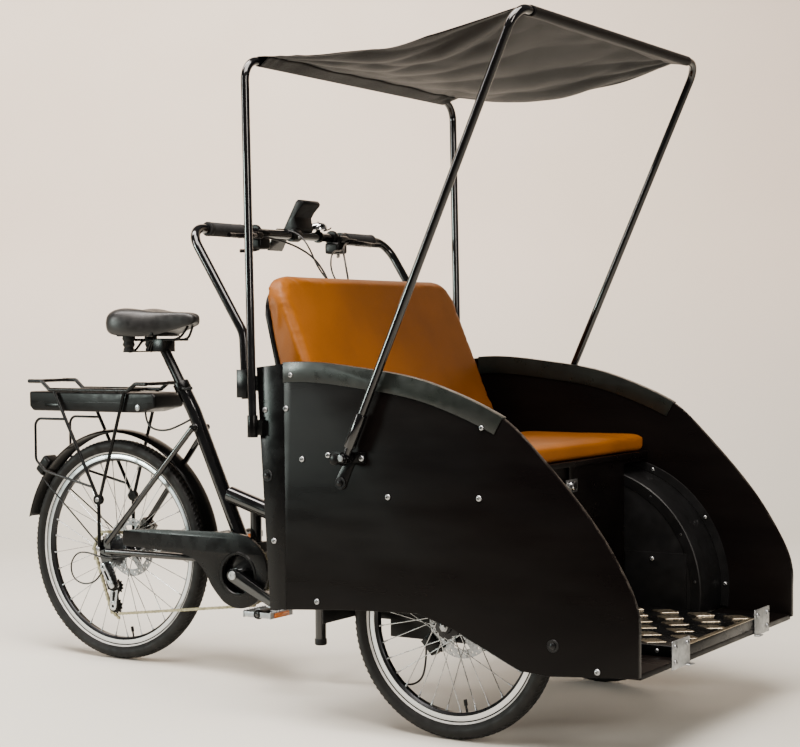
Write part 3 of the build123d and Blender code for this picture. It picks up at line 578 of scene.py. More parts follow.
tyre_rubber = mottled(
    "butyl_tyre_rubber", "#0B0B0B", "#121110", 45, 0.7, 0.03, (0.5, 0.72), {"Specular IOR Level": 0.22}
)
reflective_line = mottled(
    "glass_bead_reflective_line", "#C9C9C6", "#B4B4B2", 30, 0.6, 0.02, (0.35, 0.5)
)
track_alloy, track_tree, track_shader = new_finish(
    "machined_brake_track", "#C6C8CA", {"Metallic": 1.0, "Roughness": 0.28}
)
track_place = add_node(track_tree, "ShaderNodeUVMap", uv_map="UVMap").outputs["UV"]
track_lines = add_node(track_tree, "ShaderNodeMapping", {"Vector": track_place, "Scale": (6, 900, 1)})
track_grain = add_node(
    track_tree, "ShaderNodeTexNoise", {"Vector": track_lines.outputs["Vector"], "Scale": 1.0, "Detail": 3.0}
)
track_level = add_node(
    track_tree, "ShaderNodeMapRange", {"Value": track_grain.outputs["Fac"], "To Min": 0.18, "To Max": 0.42}
)
track_tree.links.new(track_level.outputs[0], track_shader.inputs["Roughness"])
add_relief(track_tree, track_shader, track_grain.outputs["Fac"], 0.5, 0.0001)
rim_grey = mottled(
    "dark_anodised_rim", "#2A2B2D", "#242527", 80, 0.5, 0.008, (0.26, 0.38), {"Metallic": 0.85}
)
spoke_steel = mottled(
    "stainless_spoke", "#B9BABB", "#A6A7A8", 40, 0.5, 0.006, (0.2, 0.32), {"Metallic": 1.0}
)
plated_steel = mottled(
    "zinc_plated_steel", "#A9ABAD", "#8E9092", 14, 0.5, 0.01, (0.26, 0.42), {"Metallic": 1.0}
)
hub_black = mottled(
    "black_anodised_hub", "#141416", "#1B1B1D", 40, 0.5, 0.008, (0.24, 0.36), {"Metallic": 0.7}
)
rotor_steel = mottled(
    "ground_rotor_steel", "#9D9FA1", "#85878A", 12, 0.4, 0.008, (0.24, 0.36), {"Metallic": 1.0}
)


def tread_block(width, length, height, skew):
    """One rubber tread block, with sloping sides and slightly rounded in plan."""
    return piece_from(lofted([
        [
            (x * (width / 2 - inset) + skew * y * length / 2, y * (length / 2 - inset), level)
            for x, y in ((-1, -0.6), (-0.6, -1), (0.6, -1), (1, -0.6), (1, 0.6), (0.6, 1), (-0.6, 1), (-1, 0.6))
        ]
        for level, inset in ((0, 0), (height * 0.8, 0.0006), (height, 0.0011))
    ]), "tread_block", 40)


def build_wheel(label, body, x, y, radius, disc_y, flange, hub_shell, stands_for):
    """A whole wheel: tyre, rim, spokes and nipples, valve, hub shell and brake rotor."""
    centre = (x, y, radius)
    seat = radius - 0.0468
    crown = radius - 0.0014
    half = [
        (seat + 0.0005, 0.0092), (seat + 0.007, 0.0102), (seat + 0.0145, 0.0165), (seat + 0.023, 0.0222),
        (seat + 0.0305, 0.0229), (seat + 0.037, 0.0205), (crown - 0.0035, 0.0150), (crown - 0.0009, 0.0080),
        (crown, 0.0),
    ]
    line = smooth_line(half, 4)
    line = line + [(r, -o) for r, o in line[::-1][1:]]
    stripe = [
        1 if seat + 0.0092 < (a[0] + b[0]) / 2 < seat + 0.0128 else 0 for a, b in zip(line, line[1:])
    ] + [0]
    tyre = turned("tyre_" + label, line + [line[0]], centre, steps=160, bands=stripe, sharp_angle=60)
    finish_piece(coated(coated(tyre, tyre_rubber), reflective_line), tyre_rubber, body, stands_for[0])

    blocks = []
    rows = ((0.0, 0.0, 0.0062, 0.0115, 0.0), (0.0078, 0.5, 0.0058, 0.0100, 0.3), (0.0150, 0.0, 0.0060, 0.0078, 0.5))
    count = round(2 * math.pi * radius / 0.0145)
    for offset, phase, width, length, skew in rows:
        spots = []
        for side in ((1, -1) if offset else (1,)):
            for k in range(count):
                angle = 2 * math.pi * (k + phase) / count
                tip = {0.0: (crown, 0.0), 0.0078: (crown - 0.0009, 0.10), 0.0150: (crown - 0.0036, 0.42)}[offset]
                out = Vector((math.cos(angle), 0, math.sin(angle)))
                facing = (out * math.cos(tip[1]) + Vector((0, side * math.sin(tip[1]), 0))).normalized()
                run = Vector((-math.sin(angle), 0, math.cos(angle)))
                turn = Matrix((run.cross(facing), run, facing)).transposed()
                spots.append((Vector(centre) + out * (tip[0] - 0.0007) + Vector((0, side * offset, 0)), turn))
        blocks.append(set_parts("row", tread_block(width, length, 0.0016, skew), spots, tyre_rubber))
    finish_piece(joined("tread_" + label, blocks), tyre_rubber, body)

    half = [
        (seat - 0.0120, 0.0), (seat - 0.0120, 0.0060), (seat - 0.0098, 0.0088), (seat - 0.0056, 0.0110),
        (seat - 0.0050, 0.0116), (seat + 0.0052, 0.0120), (seat + 0.0057, 0.0117), (seat + 0.0057, 0.0101),
        (seat + 0.0002, 0.0094), (seat - 0.0004, 0.0050), (seat - 0.0030, 0.0036), (seat - 0.0030, 0.0),
    ]
    bands_half = [1, 1, 1, 1, 0, 0, 0, 1, 1, 1, 1]
    rim_line = half + [(r, -o) for r, o in half[::-1][1:]]
    rim = turned(
        "rim_" + label, rim_line[:-1] + [rim_line[0]], centre, steps=160, bands=bands_half + bands_half[::-1]
    )
    finish_piece(coated(coated(rim, track_alloy), rim_grey), track_alloy, body, stands_for[1])

    spokes, nipples = [], []
    rim_reach, spoke_count = seat - 0.0124, 32
    for k in range(spoke_count):
        side = 1 if k % 2 else -1
        pair = 1 if (k // 2) % 2 else -1
        rim_angle = 2 * math.pi * (k + 0.5) / spoke_count
        hub_angle = rim_angle + pair * math.radians(62)
        start = Vector((
            x + flange * math.cos(hub_angle), y + side * 0.0285 + pair * 0.0012, radius + flange * math.sin(hub_angle)
        ))
        end = Vector((x + rim_reach * math.cos(rim_angle), y + side * 0.002, radius + rim_reach * math.sin(rim_angle)))
        run = end - start
        spokes.append((start, run.normalized(), (1, 1, run.length)))
        nipples.append((end + run.normalized() * 0.0004, -run.normalized()))
    wire = turned(
        "wire", [(0, 0), (0.0011, 0), (0.0011, 1), (0, 1)], axis=(0, 0, 1), steps=8
    )
    wires = set_parts("wires", wire, spokes, spoke_steel)
    nipple = turned("nipple", [
        (0, 0), (0.0026, 0), (0.0026, 0.003), (0.0019, 0.004), (0.0017, 0.0125), (0.0011, 0.0135), (0, 0.0135),
    ], axis=(0, 0, 1), steps=10)
    nuts = set_parts("nuts", nipple, nipples, plated_steel)
    finish_piece(joined("spokes_" + label, [wires, nuts]), spoke_steel, body)

    valve_angle = math.radians(-80)
    out = Vector((math.cos(valve_angle), 0, math.sin(valve_angle)))
    valve = turned("valve_" + label, [
        (0, -0.034), (0.0036, -0.034), (0.0042, -0.030), (0.0042, -0.020), (0.0026, -0.019), (0.0026, 0.004),
        (0, 0.004),
    ], Vector(centre) + out * (seat - 0.006), axis=out, steps=20)
    finish_piece(valve, hub_black, body)

    shell = turned("hub_" + label, hub_shell, centre, steps=48)
    finish_piece(shell, hub_black, body, stands_for[2])

    holes = [
        circle_line(*polar(reach, 2 * math.pi * k / 24 + lead), size, 10)
        for k in range(24) for reach, size, lead in ((0.0755, 0.0024, 0.0), (0.0690, 0.0028, 0.11))
    ]
    for k in range(6):
        holes.append(
            [polar(0.0605, math.radians(60 * k + 8 + step * 5.0)) for step in range(9)]
            + [polar(0.0285, math.radians(60 * k + 64 - step * 4.6)) for step in range(9)]
        )
    outer = circle_line(0, 0, 0.080, 96)
    rotor = flat_plate("rotor_" + label, [outer, *holes], 0.0019, (x, disc_y, radius), (0, 1, 0))
    finish_piece(rotor, rotor_steel, body)


rear_shell = [
    (0.0052, -0.0468), (0.0100, -0.0468), (0.0115, -0.0455), (0.0115, -0.0310), (0.0235, -0.0305), (0.0262, -0.0290),
    (0.0262, -0.0260), (0.0235, -0.0245), (0.0185, -0.0215), (0.0172, -0.0080), (0.0172, 0.0080), (0.0185, 0.0215),
    (0.0235, 0.0245), (0.0262, 0.0260), (0.0262, 0.0290), (0.0235, 0.0305), (0.0225, 0.0425), (0.0165, 0.0440),
    (0.0110, 0.0475), (0.0052, 0.0475), (0.0052, -0.0468),
]
build_wheel(
    "rear", "rear_wheel", rear_axle.x, 0.0, 0.300, 0.0434, 0.0235, rear_shell,
    ("rear_tyre", "rear_rim", "rear_hub"),
)
front_shell = [
    (0.0073, -0.0370), (0.0150, -0.0370), (0.0180, -0.0350), (0.0225, -0.0335), (0.0270, -0.0300),
    (0.0285, -0.0290), (0.0285, -0.0260), (0.0260, -0.0245), (0.0205, -0.0200), (0.0190, -0.0060),
    (0.0190, 0.0060), (0.0205, 0.0200), (0.0260, 0.0245), (0.0285, 0.0260), (0.0285, 0.0290), (0.0230, 0.0310),
    (0.0165, 0.0330), (0.0150, 0.0375), (0.0120, 0.0390), (0.0073, 0.0390), (0.0073, -0.0370),
]
for label, side in (("right", -1), ("left", 1)):
    build_wheel(
        "front_" + label, "front_wheel_" + label[0], front_axle_x, side * 0.364, front_radius, side * 0.330, 0.0255,
        [(r, side * o) for r, o in front_shell], ["front_" + part + "_" + label for part in ("tyre", "rim", "hub")],
    )
nut = turned("nut", [
    (0, 0), (0.0125, 0), (0.0125, 0.0022), (0.0098, 0.0030), (0.0092, 0.0080), (0.0070, 0.0100), (0, 0.0100),
], axis=(0, 0, 1), steps=6)
set_parts("front_axle_nuts", nut, [
    ((front_axle_x, side * 0.4040, front_radius), (0, side, 0), (0.85, 0.85, 0.8)) for side in (-1, 1)
], plated_steel, "passenger_box")


# Drive: a dull gold roller chain of pressed plates over a black ring and a stack of steel
# sprockets, with a moulded changer below; each link is one outer and one inner pair of plates.
chain_steel = mottled(
    "oiled_chain_steel", "#A29B80", "#7C7660", 9, 0.5, 0.01, (0.3, 0.5), {"Metallic": 0.9}
)
sprocket_steel = mottled(
    "nickel_plated_sprocket", "#8D8F92", "#6F7174", 14, 0.5, 0.01, (0.3, 0.46), {"Metallic": 1.0}
)
moulded_black = mottled(
    "moulded_black_nylon", "#060606", "#0B0B0B", 40, 0.8, 0.03, (0.3, 0.46), {"Specular IOR Level": 0.14}
)
crank_axis = rear_axle + Vector((0.452, 0, -0.032))
chain_spots = []
for middle, reach in (
    (crank_axis, 0.0845), (rear_axle, 0.0515), (rear_axle + Vector((0.022, 0, -0.148)), 0.0225),
):
    chain_spots += circle_line(middle.x, middle.z, reach, 240)
chain_spots.sort()
lower, upper = [], []
for edge, order in ((lower, chain_spots), (upper, chain_spots[::-1])):
    for point in order:
        while len(edge) > 1 and (
            (edge[-1][0] - edge[-2][0]) * (point[1] - edge[-2][1])
            - (edge[-1][1] - edge[-2][1]) * (point[0] - edge[-2][0])
        ) <= 0:
            edge.pop()
        edge.append(point)
chain_path = lower[:-1] + upper[:-1]
chain_pitch, chain_y = 0.0127, -0.0450


def link_pair():
    """One outer and one inner link with their rollers, along X."""
    pieces = []
    end_radius, waist = 0.0040, 0.0027
    outline = [polar(end_radius, math.pi / 2 + math.pi * k / 8) for k in range(9)]
    outline.append((chain_pitch / 2, -waist))
    outline += [polar(end_radius, -math.pi / 2 + math.pi * k / 8, chain_pitch) for k in range(9)]
    outline.append((chain_pitch / 2, waist))
    for number, spread in ((0, 0.0030), (1, 0.0020)):
        for side in (-1, 1):
            pieces.append(flat_plate(
                "plate", [outline], 0.0009, (chain_pitch * number, side * spread, 0), (0, -1, 0), (1, 0, 0)
            ))
        pieces.append(turned(
            "roller", [(0, -0.0034), (0.0021, -0.0034), (0.0021, 0.0034), (0, 0.0034)],
            (chain_pitch * number, 0, 0), steps=8,
        ))
    return joined("link_pair", [coated(piece, chain_steel) for piece in pieces])


def chain_tree():
    """Links set end to end along a closed line, each turned to lie along it."""
    tree, given = open_tree(
        "chain_links", (("Line", "Geometry"), ("Link", "Object"), ("Links", "Int"), ("Finish", "Material"))
    )
    line = add_node(tree, "GeometryNodeMeshToCurve", {"Mesh": given["Line"]})
    points = add_node(
        tree, "GeometryNodeCurveToPoints", {"Curve": line.outputs[0], "Count": given["Links"]}, mode="COUNT"
    )
    turn = add_node(
        tree, "FunctionNodeAlignRotationToVector", {"Vector": points.outputs["Tangent"]}, axis="X", pivot_axis="Y"
    )
    link = add_node(tree, "GeometryNodeObjectInfo", {"Object": given["Link"]}).outputs["Geometry"]
    placed = add_node(tree, "GeometryNodeInstanceOnPoints", {
        "Points": points.outputs["Points"], "Instance": link, "Rotation": turn.outputs[0],
    })
    return close_tree(tree, placed, given["Finish"])


path = bpy.data.meshes.new("chain_line")
path.from_pydata(
    [(x, chain_y, z) for x, z in chain_path], [(k, (k + 1) % len(chain_path)) for k in range(len(chain_path))], []
)
chain_length = sum(math.dist(a, b) for a, b in zip(chain_path, chain_path[1:] + chain_path[:1]))
link = link_pair()
drive_chain = made_plain("drive_chain", linked("chain_line", path), chain_tree(), {
    "Link": link, "Links": round(chain_length / (2 * chain_pitch)), "Finish": chain_steel,
})
bpy.data.objects.remove(link)
finish_piece(drive_chain, chain_steel, "rear_frame", "chain")


def toothed(name, radius, teeth, thickness, centre, bore, windows=0):
    """A sprocket: a flat plate with pointed teeth and, on a large one, weight-saving windows."""
    outline = []
    for k in range(teeth):
        for lead, reach in ((-0.32, -0.0022), (-0.12, 0.0012), (0.12, 0.0012), (0.32, -0.0022), (0.5, -0.0032)):
            outline.append(polar(radius + reach, 2 * math.pi * (k + lead) / teeth))
    holes = [circle_line(0, 0, bore, 32)]
    for k in range(windows):
        holes.append(
            [polar(radius - 0.012, 2 * math.pi * (k + 0.12 + 0.76 * step / 8) / windows) for step in range(9)]
            + [polar(bore + 0.006, 2 * math.pi * (k + 0.88 - 0.76 * step / 8) / windows) for step in range(9)]
        )
    return flat_plate(name, [outline, *holes], thickness, centre, (0, 1, 0))


cassette = []
for number in range(7):
    gear = toothed(
        "gear", 0.0480 - 0.0042 * number, 24 - 2 * number, 0.0016,
        (rear_axle.x, -0.0318 - 0.0023 * number, rear_axle.z), 0.0125,
    )
    cassette.append(coated(gear, sprocket_steel))
finish_piece(joined("cassette", cassette), sprocket_steel, "rear_wheel")

ring = toothed("chain_ring", 0.0815, 42, 0.0024, (crank_axis.x, chain_y, crank_axis.z), 0.030, 5)
eased("crank_set", 0.003, gloss_black, "crank", 3)
finish_piece(ring, satin_black, "crank")
caps = turned("cap", [
    (0, 0), (0.0115, 0), (0.0115, 0.0015), (0.0100, 0.0028), (0.0045, 0.0030), (0.0040, 0.0012), (0, 0.0012),
], axis=(0, 0, 1), steps=32)
set_parts(
    "crank_bolts", caps,
    [((crank_axis.x, side * 0.0899, crank_axis.z), (0, side, 0)) for side in (-1, 1)], plated_steel, "crank",
)

eased("motor_unit", 0.006, moulded_black, "rear_frame", 3)
cover_line = [
    (0.020, 0.0), (0.056, 0.0), (0.058, 0.0010), (0.0575, 0.0026), (0.052, 0.0040), (0.040, 0.0052), (0.024, 0.0056),
    (0.020, 0.0050), (0.020, 0.0),
]
motor_trim = [coated(
    turned("cover", cover_line, (crank_axis.x, side * 0.0380, crank_axis.z), axis=(0, side, 0), steps=64), satin_black
) for side in (-1, 1)]
finish_piece(joined("motor_covers", motor_trim), satin_black, "rear_frame")


def capsule(a, a_radius, b, b_radius):
    """The outline round two circles, for links, cages and levers."""
    steps = 14
    lean = math.atan2(b[1] - a[1], b[0] - a[0])
    open_angle = math.acos((a_radius - b_radius) / math.dist(a, b))
    outline = []
    for (x, y), radius, first, last in (
        (a, a_radius, lean + open_angle, lean + 2 * math.pi - open_angle),
        (b, b_radius, lean - open_angle, lean + open_angle),
    ):
        outline += [polar(radius, first + (last - first) * k / steps, x, y) for k in range(steps + 1)]
    return outline


eased("derailleur", 0.002, moulded_black, "rear_frame", 2)
changer_alloy = mottled(
    "polished_changer_alloy", "#B9BBBD", "#9A9C9F", 14, 0.5, 0.01, (0.18, 0.34), {"Metallic": 1.0}
)
changer_parts = []
for y, thickness, outlines in (
    (-0.0592, 0.0018, [
        capsule((0.028, -0.095), 0.0125, (0.022, -0.148), 0.0115), circle_line(0.028, -0.095, 0.005, 20),
        circle_line(0.022, -0.148, 0.0045, 20), capsule((0.027, -0.112), 0.0052, (0.024, -0.130), 0.0042),
    ]),
    (-0.0790, 0.0040, [
        capsule((0.006, -0.040), 0.0095, (0.036, -0.088), 0.0085), circle_line(0.006, -0.040, 0.0035, 20),
        capsule((0.014, -0.053), 0.0035, (0.027, -0.074), 0.0030),
    ]),
    (-0.0660, 0.0030, [capsule((0.020, -0.034), 0.0070, (0.044, -0.090), 0.0055)]),
):
    part = flat_plate("changer_plate", outlines, thickness, (rear_axle.x, y, rear_axle.z), (0, -1, 0), (1, 0, 0))
    changer_parts.append(coated(broken(part, 0.0006), changer_alloy))
finish_piece(joined("changer_links", changer_parts), changer_alloy, "rear_frame")
jockeys = []
for x, z, radius in ((0.022, 0.152, 0.0205), (0.028, 0.205, 0.0185)):
    wheel = toothed("jockey", radius, 11, 0.0022, (rear_axle.x + x, chain_y, z), 0.004)
    jockeys.append(coated(wheel, moulded_black))
finish_piece(joined("changer_wheels", jockeys), moulded_black, "rear_frame")
housing_black = mottled(
    "ribbed_cable_housing", "#0B0B0B", "#131313", 30, 0.6, 0.02, (0.3, 0.45), {"Specular IOR Level": 0.35}
)
changer_route = [
    (0.085, -0.0570, -0.0095), (0.050, -0.0640, -0.0140), (0.000, -0.0740, -0.0170), (-0.045, -0.0770, -0.0040),
    (-0.088, -0.0775, -0.0060), (-0.113, -0.0775, -0.0380), (-0.106, -0.0775, -0.0760), (-0.072, -0.0760, -0.0930),
    (-0.032, -0.0740, -0.0860), (-0.008, -0.0730, -0.0620), (0.004, -0.0720, -0.0440),
]
cord(
    "changer_housing", [rear_axle + Vector(spot) for spot in changer_route], 0.0046, 0.38, housing_black, "rear_frame"
)

guard_line = [
    (0.066, 0.024), (0.066, 0.054), (0.078, 0.062), (0.150, 0.068), (0.240, 0.071), (0.330, 0.073), (0.410, 0.0735),
]
guard_line += [
    polar(0.104 - 0.016 * min(1.0, k / 8), math.radians(88 - 13.5 * k), 0.452, -0.032) for k in range(17)
]
guard_line += [
    (0.366, -0.068), (0.345, -0.034), (0.318, -0.008), (0.288, 0.006), (0.250, 0.012), (0.180, 0.016), (0.080, 0.019),
]
guard_outline = smooth_line(guard_line + guard_line[:1], 4)[:-1]
chain_guard = flat_plate(
    "chain_guard", [guard_outline, circle_line(0.452, -0.032, 0.050, 72)], 0.0094,
    (rear_axle.x, -0.0610, rear_axle.z), (0, -1, 0), (1, 0, 0),
)
finish_piece(broken(chain_guard, 0.0028, 3), satin_black, "rear_frame", "chain_cover")
guard_ring = turned("guard_ring", [
    (0.0500, -0.0012), (0.0560, -0.0012), (0.0585, 0.0), (0.0560, 0.0020), (0.0515, 0.0020), (0.0500, 0.0),
], (crank_axis.x, -0.0658, crank_axis.z), axis=(0, -1, 0), steps=96)
finish_piece(guard_ring, satin_black, "rear_frame")


# Pedals: die-cast alloy bodies with a toothed cage each side of a black barrel, and two amber
# prismatic reflectors; they turn on the crank's spindles.
pedal_alloy = mottled(
    "die_cast_pedal_alloy", "#A9ABAC", "#8B8D90", 25, 0.7, 0.02, (0.34, 0.5), {"Metallic": 0.9}
)
amber_lens, amber_tree, amber_shader = new_finish(
    "amber_reflector_prism", "#D8620C", {"Roughness": 0.16, "Coat Weight": 0.7}
)
amber_place = add_node(amber_tree, "ShaderNodeTexCoord").outputs["Object"]
prism_relief_and_shade = add_node(
    amber_tree, "ShaderNodeTexVoronoi", {"Vector": amber_place, "Scale": 420.0, "Randomness": 0.0}, feature="F1"
).outputs["Distance"]
# Painted glint and shade: each prism cell is painted bright orange at its middle, darkening to deep orange at its edge,
# in step with its relief.
amber_tree.links.new(mixed(amber_tree, prism_relief_and_shade, "#F08A1E", "#B2440A"), amber_shader.inputs["Base Color"])
add_relief(amber_tree, amber_shader, prism_relief_and_shade, 0.6, 0.0006)


def slab(name, low, high, edge, finish, segments=2):
    """A block between two corners with rounded edges."""
    shape = bmesh.new()
    bmesh.ops.create_cube(shape, size=1.0)
    for vert in shape.verts:
        vert.co = Vector([l + (h - l) * (c + 0.5) for l, h, c in zip(low, high, vert.co)])
    bmesh.ops.bevel(
        shape, geom=list(shape.edges), offset=edge, segments=segments, profile=0.6, affect="EDGES"
    )
    return coated(piece_from(shape, name, 40), finish)


for label, side in (("right", -1), ("left", 1)):
    low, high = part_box("pedal_" + label)
    middle = (low + high) / 2
    inner, outer = sorted((low.y, high.y), key=abs)
    pieces = [coated(turned("barrel", [
        (0.0056, 0), (0.0110, 0), (0.0120, 0.004), (0.0105, 0.030), (0.0105, 0.070), (0.0125, 0.086), (0.0100, 0.0935),
        (0.0056, 0.0935), (0.0056, 0),
    ], (middle.x, inner, middle.z), axis=(0, side, 0), steps=32), moulded_black)]
    for front in (-1, 1):
        strip_x = middle.x + front * 0.0405
        strip = [(inner - middle.y, -0.0085)]
        for k in range(19):
            strip.append((inner + (outer - inner) * k / 18 - middle.y, 0.0095 if k % 2 else 0.0066))
        strip.append((outer - middle.y, -0.0085))
        cage = flat_plate("cage", [strip], 0.0028, (strip_x, middle.y, middle.z), (1, 0, 0), (0, 1, 0))
        pieces.append(coated(cage, pedal_alloy))
        lens_x = strip_x + front * 0.0016
        pieces.append(slab(
            "reflector", (lens_x - 0.0022, middle.y - 0.030, middle.z - 0.0080),
            (lens_x + 0.0022, middle.y + 0.030, middle.z + 0.0040), 0.0014, amber_lens,
        ))
    for y in (inner + side * 0.0035, middle.y, outer - side * 0.0035):
        pieces.append(slab(
            "rib", (middle.x - 0.0400, y - 0.0024, middle.z - 0.0075),
            (middle.x + 0.0400, y + 0.0024, middle.z + 0.0060), 0.0014, pedal_alloy,
        ))
    pedal = joined("pedal_" + label + "_cage", pieces)
    finish_piece(pedal, pedal_alloy, "pedal_" + label[0], "pedal_" + label)


# Saddle and post: a foam pad under grained black vinyl on a nylon shell, with two rubber blocks at
# the back, clamped by its steel rails to a painted post that slides in the seat tube.
saddle_vinyl = mottled(
    "grained_saddle_vinyl", "#0C0C0C", "#121212", 35, 1.3, 0.05, (0.36, 0.5), {"Specular IOR Level": 0.45}
)
# Each station: along the saddle, half its width, its top and its depth.
saddle_stations = [
    (0.000, 0.058, 0.930, 0.030), (0.008, 0.085, 0.944, 0.054), (0.030, 0.099, 0.954, 0.074),
    (0.060, 0.101, 0.957, 0.081), (0.095, 0.091, 0.953, 0.079), (0.125, 0.073, 0.948, 0.075),
    (0.155, 0.054, 0.945, 0.066), (0.190, 0.040, 0.944, 0.055), (0.220, 0.031, 0.943, 0.044),
    (0.245, 0.023, 0.939, 0.033), (0.256, 0.013, 0.931, 0.018),
]
section = [
    (0.90, -1.0), (0.985, -0.74), (1.0, -0.42), (0.93, -0.17), (0.76, -0.03), (0.52, 0.0), (0.28, -0.05), (0.0, -0.13),
]
section = section + [(-y, z) for y, z in section[:-1][::-1]] + [(y * 0.84, -0.86) for y in (-0.8, 0, 0.8)]
saddle_back = rear_axle.x + 0.0200
saddle_pad = piece_from(lofted([
    [(saddle_back + along, y * half_width, top + z * depth) for y, z in section]
    for along, half_width, top, depth in saddle_stations
]), "saddle_pad", 70)
softened = saddle_pad.modifiers.new("softened", "SUBSURF")
softened.levels = softened.render_levels = 2
finish_piece(saddle_pad, saddle_vinyl, "rear_frame", "saddle")
saddle_parts = []
for side in (-1, 1):
    block = turned("block", [
        (0, 0), (0.0135, 0), (0.0150, 0.004), (0.0125, 0.011), (0.0165, 0.018), (0.0140, 0.027), (0.0175, 0.034),
        (0.0160, 0.047), (0, 0.047),
    ], (saddle_back + 0.058, side * 0.045, 0.839), axis=(0, 0, 1), steps=32)
    saddle_parts.append(coated(block, rubber))
    for rail in (
        [(0.058, 0.045, 0.8385), (0.066, 0.030, 0.8395), (0.075, 0.0225, 0.856), (0.088, 0.022, 0.870),
         (0.120, 0.022, 0.870)],
        [(0.190, 0.022, 0.870), (0.208, 0.020, 0.872), (0.224, 0.013, 0.890), (0.232, 0.010, 0.906)],
    ):
        rail = swept("rail", [(saddle_back + x, side * y, z) for x, y, z in rail], 0.0034)
        saddle_parts.append(coated(rail, satin_black))
saddle_parts.append(slab(
    "base", (saddle_back + 0.024, -0.058, 0.8790), (saddle_back + 0.150, 0.058, 0.8920), 0.004, moulded_black
))
saddle_parts.append(slab(
    "bridge", (saddle_back + 0.046, -0.056, 0.8370), (saddle_back + 0.070, 0.056, 0.8405), 0.001, satin_black
))
finish_piece(joined("saddle_base", saddle_parts), moulded_black, "rear_frame")
eased("seat_post", 0.004, satin_black, "rear_frame", 3)
lever = [(0.004, -0.0210, 0.009), (0.012, -0.0270, 0.008), (0.030, -0.0270, 0.004), (0.046, -0.0240, 0.008)]
lever = swept("seat_clamp_lever", [seat_tube_top + Vector(spot) for spot in lever], 0.0042)
finish_piece(lever, satin_black, "rear_frame")

# Luggage rack and battery: bent and welded steel tube in satin black, over a moulded battery case
# with a parting seam, a charge window and a key lock; grey plated screws hold the feet.
paint("rear_rack", satin_black)
eased("battery", 0.006, moulded_black, "rear_frame", 4)
low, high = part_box("battery")
battery_trim = [slab(name, start, end, edge, satin_black) for name, start, end, edge in (
    ("seam", (low.x + 0.010, low.y - 0.0006, 0.7010), (high.x - 0.010, high.y + 0.0006, 0.7022), 0.0004),
    ("tail", (low.x - 0.0012, -0.035, 0.692), (low.x + 0.004, 0.035, 0.722), 0.002),
    ("window", (low.x + 0.060, low.y - 0.0010, 0.686), (low.x + 0.120, low.y + 0.002, 0.696), 0.0008),
)]
lock = coated(turned("lock", [
    (0, 0), (0.0085, 0), (0.0085, 0.0012), (0.0070, 0.0022), (0.0020, 0.0022), (0.0018, 0.0010), (0, 0.0010),
], (high.x - 0.060, low.y, 0.690), axis=(0, -1, 0), steps=32), plated_steel)
finish_piece(joined("battery_details", battery_trim + [lock]), satin_black, "rear_frame")


def button_head(radius, height):
    """A domed screw head with a socket."""
    return turned("button_head", [
        (0, -0.0008), (radius * 0.98, -0.0008), (radius, height * 0.15), (radius * 0.93, height * 0.5),
        (radius * 0.72, height * 0.85), (radius * 0.42, height), (radius * 0.40, height * 0.35), (0, height * 0.3),
    ], axis=(0, 0, 1), steps=20)


def washer(radius, height):
    """A flat washer with a broken edge under a domed head."""
    return turned("washer", [
        (0, -0.0008), (radius, -0.0008), (radius, height * 0.6), (radius * 0.96, height), (radius * 0.52, height),
        (radius * 0.50, height * 2.6), (radius * 0.36, height * 3.4), (0, height * 3.6),
    ], axis=(0, 0, 1), steps=32)


rack_screws = [
    ((rear_axle.x - 0.014, side * y, z), (0, side, 0))
    for side in (-1, 1) for y, z in ((0.0763, 0.440), (0.0752, 0.306))
]
set_parts("rack_screws", button_head(0.0065, 0.004), rack_screws, plated_steel, "rear_frame")

# Mudguard and tail lamp: a crowned polycarbonate guard in black with rolled edges, on steel wire
# stays, and a moulded lamp housing with a ribbed ruby lens.
def arc_rows(section, first, last, steps, centre_x, centre_z):
    """Rows of a section of (radius, y) pairs, carried round an arc between two angles in degrees."""
    rows = []
    for step in range(steps + 1):
        angle = math.radians(first + (last - first) * step / steps)
        rows.append([
            (centre_x + radius * math.cos(angle), y, centre_z + radius * math.sin(angle)) for radius, y in section
        ])
    return rows


def walled(piece, name, thickness):
    """An open skin with a wall set evenly about it."""
    wall = piece.modifiers.new(name, "SOLIDIFY")
    wall.thickness = thickness
    wall.offset = 0
    return piece


crown_half = [(0.3195, -0.0278), (0.3212, -0.0268), (0.3252, -0.0180), (0.3274, 0.0)]
crown_line = smooth_line(crown_half + [(r, -y) for r, y in crown_half[:-1][::-1]], 3)
guard = piece_from(lofted(
    arc_rows(crown_line, 3.2, 166.5, 96, rear_axle.x, rear_axle.z), closed=False, caps=False
), "mudguard_shell", 60)
walled(guard, "wall", 0.0018)
guard_parts = [coated(swept("stay", [
    (rear_axle.x - 0.262, side * 0.0262, 0.488), (rear_axle.x - 0.250, side * 0.0300, 0.480),
    (rear_axle.x - 0.130, side * 0.044, 0.392), (rear_axle.x - 0.030, side * 0.0560, 0.316),
    (rear_axle.x - 0.012, side * 0.0562, 0.306),
], 0.0022), satin_black) for side in (-1, 1)]
guard_parts.append(slab(
    "bridge", (rear_axle.x + 0.3235, -0.009, 0.3075), (rear_axle.x + 0.3300, 0.009, 0.3350), 0.001, satin_black
))
guard_parts.append(slab(
    "foot", (rear_axle.x + 0.3260, -0.009, 0.3063), (rear_axle.x + 0.3640, 0.009, 0.3098), 0.001, satin_black
))
guard_black = mottled(
    "gloss_polycarbonate", "#040404", "#070707", 80, 1.0, 0.01, (0.14, 0.24), {"Specular IOR Level": 0.04}
)
finish_piece(guard, guard_black, "rear_frame", "rear_mudguard")
finish_piece(joined("mudguard_stays", guard_parts), satin_black, "rear_frame")

